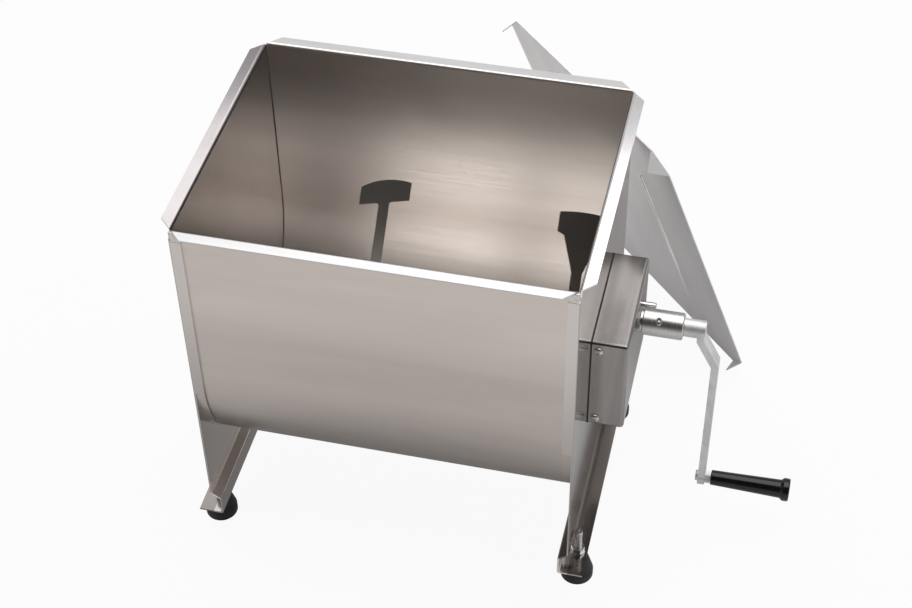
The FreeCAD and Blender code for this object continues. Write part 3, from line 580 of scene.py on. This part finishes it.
class MIXER_OT_gear_case(bpy.types.Operator):
    """Finish the gear case and its brackets"""
    bl_idname = "mixer.gear_case"
    bl_label = "Gear case"

    def execute(self, context):
        satin = brushed_metal("case_satin", finishes().case_steel, roughness=0.22,
                              grain=(700.0, 12.0, 12.0), variation=0.13, clouds=(75.0, 2.0, 6.0))
        finish_nodes(satin, "gear_case", "case_bracket_front", "case_bracket_back")
        return {"FINISHED"}


class MIXER_OT_flange_tails(bpy.types.Operator):
    """Make the tails that carry the end plates' flanges round the trough's curve"""
    bl_idname = "mixer.flange_tails"
    bl_label = "Flange tails"

    def execute(self, context):
        bm = bmesh.new()
        for side in (-1, 1):
            for front in (-1, 1):
                section = bmesh.ops.create_grid(bm, x_segments=1, y_segments=1, size=0.5)["verts"]
                bmesh.ops.scale(bm, verts=section, vec=TAIL_SIZE)
                bmesh.ops.translate(bm, verts=section, vec=(side * TAIL_X, front * TAIL_RADIUS, SHAFT_HEIGHT))
                bmesh.ops.rotate(bm, verts=section, cent=SHAFT_CENTRE,
                                 matrix=Matrix.Rotation(-front * TAIL_START, 3, "X"))
                sweep(bm, section, SHAFT_CENTRE, ALONG_TROUGH, -front * (TAIL_END - TAIL_START), TAIL_STEPS)
        bmesh.ops.recalc_face_normals(bm, faces=bm.faces)
        satin = bpy.data.materials["trough_satin"]
        add_piece("flange_tails", bm, satin, "frame", smooth=False)
        return {"FINISHED"}


class MIXER_OT_end_welds(bpy.types.Operator):
    """Make the welds under the trough's ends and the closed corners below the lips"""
    bl_idname = "mixer.end_welds"
    bl_label = "End welds"

    def execute(self, context):
        details = context.scene.mixer_details
        bm = bmesh.new()
        for side in (-1, 1):
            circle = bmesh.ops.create_circle(bm, cap_ends=True, segments=8,
                                             radius=details.weld_radius)["verts"]
            bmesh.ops.translate(bm, verts=circle, vec=(side * WELD_X, -OUTER_RADIUS, SHAFT_HEIGHT))
            sweep(bm, circle, SHAFT_CENTRE, ALONG_TROUGH, math.pi, details.weld_steps)
            for front in (-1, 1):
                block = bmesh.ops.create_cube(bm, size=1.0)["verts"]
                bmesh.ops.scale(bm, verts=block, vec=CORNER_SIZE)
                x, y, z = CORNER_PLACE
                bmesh.ops.translate(bm, verts=block, vec=(side * x, front * y, z))
                edges = list({edge for vert in block for edge in vert.link_edges})
                bmesh.ops.bevel(bm, geom=edges, offset=CORNER_ROUND, affect="EDGES", segments=2,
                                profile=0.5, material=-1)
        bmesh.ops.recalc_face_normals(bm, faces=bm.faces)
        weld = brushed_metal("weld_polished", capped(finishes().trough_steel, WELD_SHARE), roughness=0.3,
                             grain=(500.0, 500.0, 500.0), variation=0.10, relief_strength=0.10,
                             clouds=(300.0, 300.0, 300.0))
        add_piece("end_welds", bm, weld, "frame")
        return {"FINISHED"}


class MIXER_OT_inner_seam_shadows(bpy.types.Operator):
    """Make the dark rods of painted shadow along the seams where the trough meets the end plates inside"""
    bl_idname = "mixer.inner_seams"
    bl_label = "Inner seam shadows"

    def execute(self, context):
        details = context.scene.mixer_details
        rise = Vector((0.0, 0.0, SEAM_TOP - SHAFT_HEIGHT))
        bm = bmesh.new()
        for side in (-1, 1):
            circle = bmesh.ops.create_circle(bm, cap_ends=True, segments=8,
                                             radius=details.inner_seam_shadow_radius)["verts"]
            bmesh.ops.translate(bm, verts=circle, vec=(side * SEAM_X, -SEAM_Y, SEAM_TOP))
            down = pull_out(bm, circle[0].link_faces[0], -rise, keep=True)
            last = bmesh.ops.spin(bm, geom=down, cent=SHAFT_CENTRE, axis=ALONG_TROUGH, angle=math.pi,
                                  steps=details.weld_steps)["geom_last"]
            pull_out(bm, next(item for item in last if isinstance(item, bmesh.types.BMFace)), rise)
        walled_in = [face for face in bm.faces if all(len(edge.link_faces) > 2 for edge in face.edges)]
        bmesh.ops.delete(bm, geom=walled_in, context="FACES_ONLY")
        bmesh.ops.recalc_face_normals(bm, faces=bm.faces)
        # Painted shadow: the dark rod stands in for the shadow line in the joint
        seam = brushed_metal("seam_shadow_dark", capped(finishes().blade_steel, SEAM_SHADOW_SHARE), roughness=0.5,
                             grain=(300.0, 300.0, 300.0))
        add_piece("inner_seams", bm, seam, "frame")
        return {"FINISHED"}


class MIXER_OT_lid(bpy.types.Operator):
    """Finish the lid"""
    bl_idname = "mixer.lid"
    bl_label = "Lid"

    def execute(self, context):
        looks = finishes()
        satin = brushed_metal("lid_satin", looks.lid_steel, looks.lid_roughness, grain=(350.0, 350.0, 9.0),
                              variation=0.07, clouds=(22.0, 22.0, 3.0), metallic=looks.lid_metallic)
        finish_nodes(satin, "lid")
        return {"FINISHED"}


class MIXER_OT_lid_beads(bpy.types.Operator):
    """Make the crests of the lid's two pressed beads, lighter and glossier than the lid as painted highlights
    """
    bl_idname = "mixer.lid_beads"
    bl_label = "Lid beads"

    def execute(self, context):
        details = context.scene.mixer_details
        lie_down = Matrix.Rotation(-math.pi / 2, 3, "X")
        bm = bmesh.new()
        for place in LID_BEAD_PLACES:
            bead = bmesh.ops.create_uvsphere(bm, u_segments=14, v_segments=8,
                                             radius=details.bead_radius)["verts"]
            far_end = [vert for vert in bead if vert.co.z > 0]
            bmesh.ops.translate(bm, verts=far_end, vec=(0.0, 0.0, LID_BEAD_LENGTH))
            bmesh.ops.rotate(bm, verts=bead, cent=(0.0, 0.0, 0.0), matrix=lie_down)
            bmesh.ops.translate(bm, verts=bead, vec=(place, LID_BEAD_START, 0.0))
        geometry = bm.verts[:] + bm.edges[:] + bm.faces[:]
        bmesh.ops.bisect_plane(bm, geom=geometry, plane_co=(0.0, 0.0, LID_SHEET / 2),
                               plane_no=(0.0, 0.0, 1.0), clear_outer=True)
        bmesh.ops.holes_fill(bm, edges=[edge for edge in bm.edges if edge.is_boundary])
        bmesh.ops.recalc_face_normals(bm, faces=bm.faces)
        stand = (Matrix.Translation(LID_CORNER) @ Matrix.Rotation(LID_HEADING, 4, "Z")
                 @ Matrix.Rotation(LID_RISE, 4, "X"))
        bmesh.ops.transform(bm, matrix=stand, verts=bm.verts)
        # Painted highlight: the crest is made lighter than the lid's sheet it is pressed from
        bright = brushed_metal("bead_polished_highlight", capped(finishes().lid_steel, BEAD_HIGHLIGHT_SHARE), roughness=0.14,
                               grain=(350.0, 350.0, 9.0))
        add_piece("lid_bead_crests", bm, bright, "lid")
        return {"FINISHED"}


class MIXER_OT_mixing_shaft(bpy.types.Operator):
    """Finish the mixing shaft, blades, bushes and gears"""
    bl_idname = "mixer.mixing_shaft"
    bl_label = "Mixing shaft"

    def execute(self, context):
        looks = finishes()
        turned = brushed_metal("shaft_turned", looks.turned_steel, roughness=0.28, grain=(1600.0, 60.0, 60.0))
        blade = brushed_metal("blade_satin", looks.blade_steel, roughness=0.30, grain=(30.0, 120.0, 120.0),
                              relief_strength=0.0, gloss_spread=0.02)
        gear = brushed_metal("gear_machined", capped(looks.turned_steel, GEAR_SHARE), roughness=0.35,
                             grain=(900.0, 200.0, 200.0))
        nylon = moulded("bush_nylon", looks.nylon, roughness=0.45, grain=500.0, relief_strength=0.05,
                        relief_depth=0.3 * MM)
        finish_nodes(turned, "mixing_shaft", "crank_shaft", "pinion_block")
        finish_nodes(blade, "blade_1", "blade_2", "blade_3", "blade_4")
        finish_nodes(gear, "drive_gear", "pinion")
        finish_nodes(nylon, "right_shaft_bush", "left_shaft_bush", "case_bush")
        return {"FINISHED"}


class MIXER_OT_crank(bpy.types.Operator):
    """Finish the crank's sleeve, arm and grip"""
    bl_idname = "mixer.crank"
    bl_label = "Crank"

    def execute(self, context):
        looks = finishes()
        sleeve = brushed_metal("sleeve_turned", looks.turned_steel, roughness=0.30,
                               grain=(1500.0, 40.0, 40.0))
        arm = brushed_metal("arm_zinc", looks.plated_arm, roughness=0.5, grain=(160.0, 160.0, 60.0),
                            variation=0.12, relief_strength=0.10, clouds=(60.0, 60.0, 40.0), metallic=0.8)
        grip = moulded("grip_gloss", looks.grip, roughness=0.16, grain=250.0, relief_strength=0.03,
                       relief_depth=0.3 * MM)
        finish_nodes(sleeve, "crank_sleeve")
        finish_nodes(arm, "crank_arm", "grip_ferrule", "grip_spindle")
        finish_nodes(grip, "grip")
        return {"FINISHED"}


class MIXER_OT_feet(bpy.types.Operator):
    """Finish the rubber feet"""
    bl_idname = "mixer.feet"
    bl_label = "Feet"

    def execute(self, context):
        rubber = moulded("foot_rubber", finishes().rubber, roughness=0.55, grain=900.0, relief_strength=0.15,
                         relief_depth=0.4 * MM)
        finish_nodes(rubber, *[name for name in NODES if name.startswith("foot_pad")])
        return {"FINISHED"}


class MIXER_OT_fasteners(bpy.types.Operator):
    """Finish the screws, studs, nuts and small steel pieces"""
    bl_idname = "mixer.fasteners"
    bl_label = "Fasteners"

    def execute(self, context):
        bright = brushed_metal("fastener_bright", finishes().fastener_steel, roughness=0.22, grain=EVEN_GRAIN)
        finish_nodes(bright, "bush_screws", "foot_studs", "foot_nuts", "foot_washers", "case_screws",
                     "stop_pin", "thrust_washer", "sleeve_screw", "gear_ring", "left_end_ring", "pinion_pin",
                     "drive_key")
        return {"FINISHED"}


def cut_away(bm, cutter, name):
    """Cut one bmesh out of another; returns a new bmesh."""
    meshes = []
    holders = []
    for shape, label in ((bm, name), (cutter, name + "_cutter")):
        mesh = bpy.data.meshes.new(label)
        shape.to_mesh(mesh)
        shape.free()
        holder = bpy.data.objects.new(label, mesh)
        bpy.context.scene.collection.objects.link(holder)
        meshes.append(mesh)
        holders.append(holder)
    boolean = holders[0].modifiers.new("recess", "BOOLEAN")
    boolean.operation = "DIFFERENCE"
    boolean.solver = "EXACT"
    boolean.use_self = True
    boolean.object = holders[1]
    result = bmesh.new()
    result.from_object(holders[0], bpy.context.evaluated_depsgraph_get())
    for holder, mesh in zip(holders, meshes):
        bpy.data.objects.remove(holder)
        bpy.data.meshes.remove(mesh)
    if not result.faces:
        raise RuntimeError("the cut left nothing of " + name)
    return result


def cross_head(details, share=1.0):
    """Round screw head with a cross recess, standing on z = 0; share makes it smaller."""
    head = bmesh.new()
    dome = bmesh.ops.create_uvsphere(head, u_segments=24, v_segments=16, radius=details.screw_radius)["verts"]
    bmesh.ops.scale(head, verts=dome, vec=(1.0, 1.0, details.screw_height / details.screw_radius))
    geometry = head.verts[:] + head.edges[:] + head.faces[:]
    bmesh.ops.bisect_plane(head, geom=geometry, plane_co=(0.0, 0.0, 0.0), plane_no=(0.0, 0.0, -1.0),
                           clear_outer=True)
    bmesh.ops.holes_fill(head, edges=[edge for edge in head.edges if edge.is_boundary])
    bmesh.ops.recalc_face_normals(head, faces=head.faces)
    cutter = bmesh.new()
    bar_size = (details.recess_length, details.recess_width, details.screw_height)
    for turn in (0.0, math.pi / 2):
        bar = bmesh.ops.create_cube(cutter, size=1.0)["verts"]
        bmesh.ops.scale(cutter, verts=bar, vec=bar_size)
        bmesh.ops.rotate(cutter, verts=bar, cent=(0.0, 0.0, 0.0), matrix=Matrix.Rotation(turn, 3, "Z"))
        bmesh.ops.translate(cutter, verts=bar, vec=(0.0, 0.0, details.screw_height))
    cut = cut_away(head, cutter, "cross_head")
    bmesh.ops.scale(cut, verts=cut.verts, vec=(share, share, share))
    return cut


class MIXER_OT_case_screws(bpy.types.Operator):
    """Make the gear case's screw heads with their cross recesses"""
    bl_idname = "mixer.case_screws"
    bl_label = "Case screws"

    def execute(self, context):
        head = cross_head(context.scene.mixer_details)
        pattern = bpy.data.meshes.new("cross_head")
        head.to_mesh(pattern)
        head.free()
        spacing = (SCREWS_HIGH[2] - SCREWS_LOW[2]) / 2 - (SCREWS_HIGH[0] - SCREWS_LOW[0]) / 2
        middle_x = (SCREWS_LOW[0] + SCREWS_HIGH[0]) / 2
        middle_z = (SCREWS_LOW[2] + SCREWS_HIGH[2]) / 2
        bm = bmesh.new()
        for side, wall in ((-1, CASE_LOW[1]), (1, CASE_HIGH[1])):
            for step, turn in SCREW_TURNS:
                before = set(bm.verts)
                bm.from_mesh(pattern)
                verts = [vert for vert in bm.verts if vert not in before]
                place = (Matrix.Translation((middle_x, wall, middle_z + step * spacing))
                         @ Matrix.Rotation(-side * math.pi / 2, 4, "X") @ Matrix.Rotation(turn, 4, "Z"))
                bmesh.ops.transform(bm, matrix=place, verts=verts)
        bpy.data.meshes.remove(pattern)
        bright = brushed_metal("screw_bright", finishes().fastener_steel, roughness=0.16, grain=EVEN_GRAIN)
        piece = add_piece("case_screw_heads", bm, bright, "frame", smooth=False)
        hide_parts("case_screws")
        return {"FINISHED"}


class MIXER_OT_sleeve_screw(bpy.types.Operator):
    """Make the head of the crank sleeve's screw"""
    bl_idname = "mixer.sleeve_screw"
    bl_label = "Sleeve screw"

    def execute(self, context):
        bm = cross_head(context.scene.mixer_details, SLEEVE_SCREW_SHARE)
        low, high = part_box("crank_sleeve")
        screw_low, screw_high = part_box("sleeve_screw")
        radius = (high[1] - low[1]) / 2 - SLEEVE_SCREW_SINK
        lean = Matrix.Rotation(SLEEVE_SCREW_LEAN, 4, "X")
        out = lean @ Vector((0.0, 0.0, radius))
        seat = ((screw_low[0] + screw_high[0]) / 2, out.y, (low[2] + high[2]) / 2 + out.z)
        bmesh.ops.transform(bm, matrix=Matrix.Translation(seat) @ lean, verts=bm.verts)
        bright = brushed_metal("sleeve_screw_bright", finishes().fastener_steel, roughness=0.2,
                               grain=EVEN_GRAIN)
        add_piece("sleeve_screw_head", bm, bright, "crank", smooth=False)
        return {"FINISHED"}


class MIXER_OT_case_seal_and_shadow(bpy.types.Operator):
    """Make the dark seal between the gear case and the end plate, whose darkness also paints the gap's shadow
    line
    """
    bl_idname = "mixer.case_seal"
    bl_label = "Case seal"

    def execute(self, context):
        details = context.scene.mixer_details
        proud = 2 * details.seal_proud
        size = (CASE_HIGH[1] - CASE_LOW[1] + proud, CASE_HIGH[2] - CASE_LOW[2] + proud, 1.0)
        bm = bmesh.new()
        bmesh.ops.create_grid(bm, x_segments=1, y_segments=1, size=0.5)
        bmesh.ops.scale(bm, verts=bm.verts, vec=size)
        bmesh.ops.bevel(bm, geom=bm.verts[:], offset=details.seal_corner, affect="VERTICES", segments=5,
                        profile=0.5, material=-1)
        bmesh.ops.inset_region(bm, faces=bm.faces[:], thickness=details.seal_depth, use_boundary=True)
        inner = max(bm.faces, key=lambda face: face.calc_area())
        bmesh.ops.delete(bm, geom=[inner], context="FACES_ONLY")
        made = bmesh.ops.extrude_face_region(bm, geom=bm.faces[:], use_keep_orig=True)
        raised = [item for item in made["geom"] if isinstance(item, bmesh.types.BMVert)]
        bmesh.ops.translate(bm, verts=raised, vec=(0.0, 0.0, details.seal_width))
        bmesh.ops.recalc_face_normals(bm, faces=bm.faces)
        stand = Matrix(((0, 0, 1), (1, 0, 0), (0, 1, 0))).to_4x4()
        middle = (CASE_LOW[0], (CASE_LOW[1] + CASE_HIGH[1]) / 2, (CASE_LOW[2] + CASE_HIGH[2]) / 2)
        bmesh.ops.transform(bm, matrix=Matrix.Translation(middle) @ stand, verts=bm.verts)
        # Painted shadow in part: the seal's dark finish also stands in for the gap's shadow line
        dark = moulded("seal_and_shadow_dark", finishes().rubber, roughness=0.5, grain=900.0, relief_strength=0.05,
                       relief_depth=0.2 * MM)
        add_piece("case_seal", bm, dark, "frame", smooth=False)
        return {"FINISHED"}


class MIXER_OT_stud_threads(bpy.types.Operator):
    """Make the threads of the foot studs"""
    bl_idname = "mixer.stud_threads"
    bl_label = "Stud threads"

    def execute(self, context):
        details = context.scene.mixer_details
        low = NUTS_HIGH[2] + details.thread_pitch
        turns = int((STUDS_HIGH[2] - low) / details.thread_pitch) - 1
        steps = turns * details.thread_steps
        rise = (0.0, 0.0, details.thread_pitch / details.thread_steps)
        upright = Matrix.Rotation(math.pi / 2, 3, "X")
        bm = bmesh.new()
        for x in (STUDS_LOW[0] + STUD_RADIUS, STUDS_HIGH[0] - STUD_RADIUS):
            for y in (STUDS_LOW[1] + STUD_RADIUS, STUDS_HIGH[1] - STUD_RADIUS):
                before = len(bm.verts)
                ridge = bmesh.ops.create_circle(bm, cap_ends=True, segments=4,
                                                radius=details.thread_radius)["verts"]
                bmesh.ops.rotate(bm, verts=ridge, cent=(0.0, 0.0, 0.0), matrix=upright)
                bmesh.ops.translate(bm, verts=ridge, vec=(x + STUD_RADIUS, y, low))
                sweep(bm, ridge, (x, y, low), (0.0, 0.0, 1.0), turns * math.tau, steps, rise)
                if len(bm.verts) <= before + steps:
                    raise RuntimeError("the thread was not wound")
        bmesh.ops.recalc_face_normals(bm, faces=bm.faces)
        bright = brushed_metal("thread_bright", finishes().fastener_steel, roughness=0.25, grain=EVEN_GRAIN)
        add_piece("stud_threads", bm, bright, "frame")
        return {"FINISHED"}


def camera_axes(stage):
    """Right, up and back directions of the camera."""
    back = Vector((math.sin(stage.azimuth) * math.cos(stage.elevation),
                   -math.cos(stage.azimuth) * math.cos(stage.elevation),
                   math.sin(stage.elevation)))
    right = Vector((0.0, 0.0, 1.0)).cross(back).normalized()
    up = back.cross(right)
    rolled_right = right * math.cos(stage.roll) + up * math.sin(stage.roll)
    rolled_up = up * math.cos(stage.roll) - right * math.sin(stage.roll)
    return rolled_right, rolled_up, back


def studio_world(stage, dark_towards):
    """White room with a dark side, seen as plain white by the camera."""
    world = bpy.data.worlds.new("studio")
    bpy.context.scene.world = world
    world.use_nodes = True
    tree = world.node_tree
    tree.nodes.clear()
    output = tree.nodes.new("ShaderNodeOutputWorld")
    room = tree.nodes.new("ShaderNodeBackground")
    white = tree.nodes.new("ShaderNodeBackground")
    choice = tree.nodes.new("ShaderNodeMixShader")
    rays = tree.nodes.new("ShaderNodeLightPath")
    coordinates = tree.nodes.new("ShaderNodeTexCoord")
    nearness = tree.nodes.new("ShaderNodeVectorMath")
    nearness.operation = "DOT_PRODUCT"
    nearness.inputs[1].default_value = dark_towards
    fade = tree.nodes.new("ShaderNodeMapRange")
    fade.interpolation_type = "SMOOTHSTEP"
    fade.inputs["From Min"].default_value = FADE_START
    fade.inputs["From Max"].default_value = FADE_END
    fade.inputs["To Min"].default_value = stage.sky_level
    fade.inputs["To Max"].default_value = stage.dark_level
    tree.links.new(coordinates.outputs["Generated"], nearness.inputs[0])
    tree.links.new(nearness.outputs["Value"], fade.inputs["Value"])
    tree.links.new(fade.outputs["Result"], room.inputs["Strength"])
    tree.links.new(rays.outputs["Is Camera Ray"], choice.inputs["Fac"])
    tree.links.new(room.outputs["Background"], choice.inputs[1])
    tree.links.new(white.outputs["Background"], choice.inputs[2])
    tree.links.new(choice.outputs["Shader"], output.inputs["Surface"])


def floor_paper(stage):
    """Pale paper that shows nearly white to the camera and a little white to the metal."""
    material = bpy.data.materials.new("floor_paper")
    material.use_nodes = True
    tree = material.node_tree
    tree.nodes.clear()
    output = tree.nodes.new("ShaderNodeOutputMaterial")
    paper = tree.nodes.new("ShaderNodeBsdfDiffuse")
    glow = tree.nodes.new("ShaderNodeEmission")
    choice = tree.nodes.new("ShaderNodeMixShader")
    rays = tree.nodes.new("ShaderNodeLightPath")
    paper.inputs["Color"].default_value = (stage.floor_tone, stage.floor_tone, stage.floor_tone, 1.0)
    seen = calculate(tree, "MULTIPLY", rays.outputs["Is Camera Ray"], stage.floor_glow)
    share = calculate(tree, "MULTIPLY_ADD", rays.outputs["Is Glossy Ray"], stage.floor_mirror, seen)
    tree.links.new(share, choice.inputs["Fac"])
    tree.links.new(paper.outputs["BSDF"], choice.inputs[1])
    tree.links.new(glow.outputs["Emission"], choice.inputs[2])
    tree.links.new(choice.outputs["Shader"], output.inputs["Surface"])
    return material


def studio_floor(stage):
    """Large pale floor that keeps a faint shadow."""
    bm = bmesh.new()
    bmesh.ops.create_grid(bm, x_segments=1, y_segments=1, size=FLOOR_SIZE)
    mesh = bpy.data.meshes.new("studio_floor")
    bm.to_mesh(mesh)
    bm.free()
    mesh.materials.append(floor_paper(stage))
    floor = bpy.data.objects.new("studio_floor", mesh)
    bpy.context.scene.collection.objects.link(floor)


def softbox(name, place, size, power):
    """A lamp with a wide face that looks straight down."""
    lamp = bpy.data.lights.new(name, "AREA")
    lamp.shape = "RECTANGLE"
    lamp.size, lamp.size_y = size
    lamp.energy = power
    holder = bpy.data.objects.new(name, lamp)
    holder.location = place
    bpy.context.scene.collection.objects.link(holder)


class MIXER_OT_stage(bpy.types.Operator):
    """Make the floor, lamps and camera"""
    bl_idname = "mixer.stage"
    bl_label = "Stage"

    def execute(self, context):
        stage = context.scene.mixer_stage
        right, up, back = camera_axes(stage)
        camera_data = bpy.data.cameras.new("photo_camera")
        camera_data.lens = stage.focal_length
        camera_data.sensor_width = SENSOR_WIDTH
        camera_data.clip_end = CLIP_END
        camera = bpy.data.objects.new("photo_camera", camera_data)
        turn = Matrix((right, up, back)).transposed().to_4x4()
        camera.matrix_world = Matrix.Translation(stage.camera_place) @ turn
        context.scene.collection.objects.link(camera)
        context.scene.camera = camera
        studio_world(stage, back)
        studio_floor(stage)
        softbox("ceiling_softbox", CEILING_PLACE, CEILING_SIZE, stage.lamp_power)
        softbox("back_softbox", BACK_PLACE, BACK_SIZE, stage.back_power)
        context.scene.view_settings.view_transform = "Standard"
        return {"FINISHED"}


OPERATORS = (
    MIXER_OT_trough,
    MIXER_OT_end_plates,
    MIXER_OT_gear_case,
    MIXER_OT_flange_tails,
    MIXER_OT_end_welds,
    MIXER_OT_inner_seam_shadows,
    MIXER_OT_lid,
    MIXER_OT_lid_beads,
    MIXER_OT_mixing_shaft,
    MIXER_OT_crank,
    MIXER_OT_feet,
    MIXER_OT_fasteners,
    MIXER_OT_case_screws,
    MIXER_OT_sleeve_screw,
    MIXER_OT_case_seal_and_shadow,
    MIXER_OT_stud_threads,
    MIXER_OT_stage,
)


class MIXER_PT_sidebar(bpy.types.Panel):
    """Lists the mixer's pieces"""
    bl_idname = "MIXER_PT_sidebar"
    bl_label = "Meat mixer"
    bl_space_type = "VIEW_3D"
    bl_region_type = "UI"
    bl_category = "Mixer"

    def draw(self, context):
        for operator in OPERATORS:
            self.layout.operator(operator.bl_idname)


CLASSES = (MixerFinishes, MixerDetails, MixerStage, *OPERATORS, MIXER_PT_sidebar)


def register():
    """Register the classes and the scene's settings."""
    for item in CLASSES:
        bpy.utils.register_class(item)
    bpy.types.Scene.mixer_finishes = PointerProperty(type=MixerFinishes)
    bpy.types.Scene.mixer_details = PointerProperty(type=MixerDetails)
    bpy.types.Scene.mixer_stage = PointerProperty(type=MixerStage)


def unregister():
    """Take the settings and classes away again."""
    del bpy.types.Scene.mixer_stage
    del bpy.types.Scene.mixer_details
    del bpy.types.Scene.mixer_finishes
    for item in reversed(CLASSES):
        bpy.utils.unregister_class(item)


def main():
    """Dress the mixer."""
    register()
    bpy.ops.mixer.trough()
    bpy.ops.mixer.end_plates()
    bpy.ops.mixer.gear_case()
    bpy.ops.mixer.flange_tails()
    bpy.ops.mixer.end_welds()
    bpy.ops.mixer.inner_seams()
    bpy.ops.mixer.lid()
    bpy.ops.mixer.lid_beads()
    bpy.ops.mixer.mixing_shaft()
    bpy.ops.mixer.crank()
    bpy.ops.mixer.feet()
    bpy.ops.mixer.fasteners()
    bpy.ops.mixer.case_screws()
    bpy.ops.mixer.sleeve_screw()
    bpy.ops.mixer.case_seal()
    bpy.ops.mixer.stud_threads()
    bpy.ops.mixer.stage()


if __name__ == "__main__":
    main()
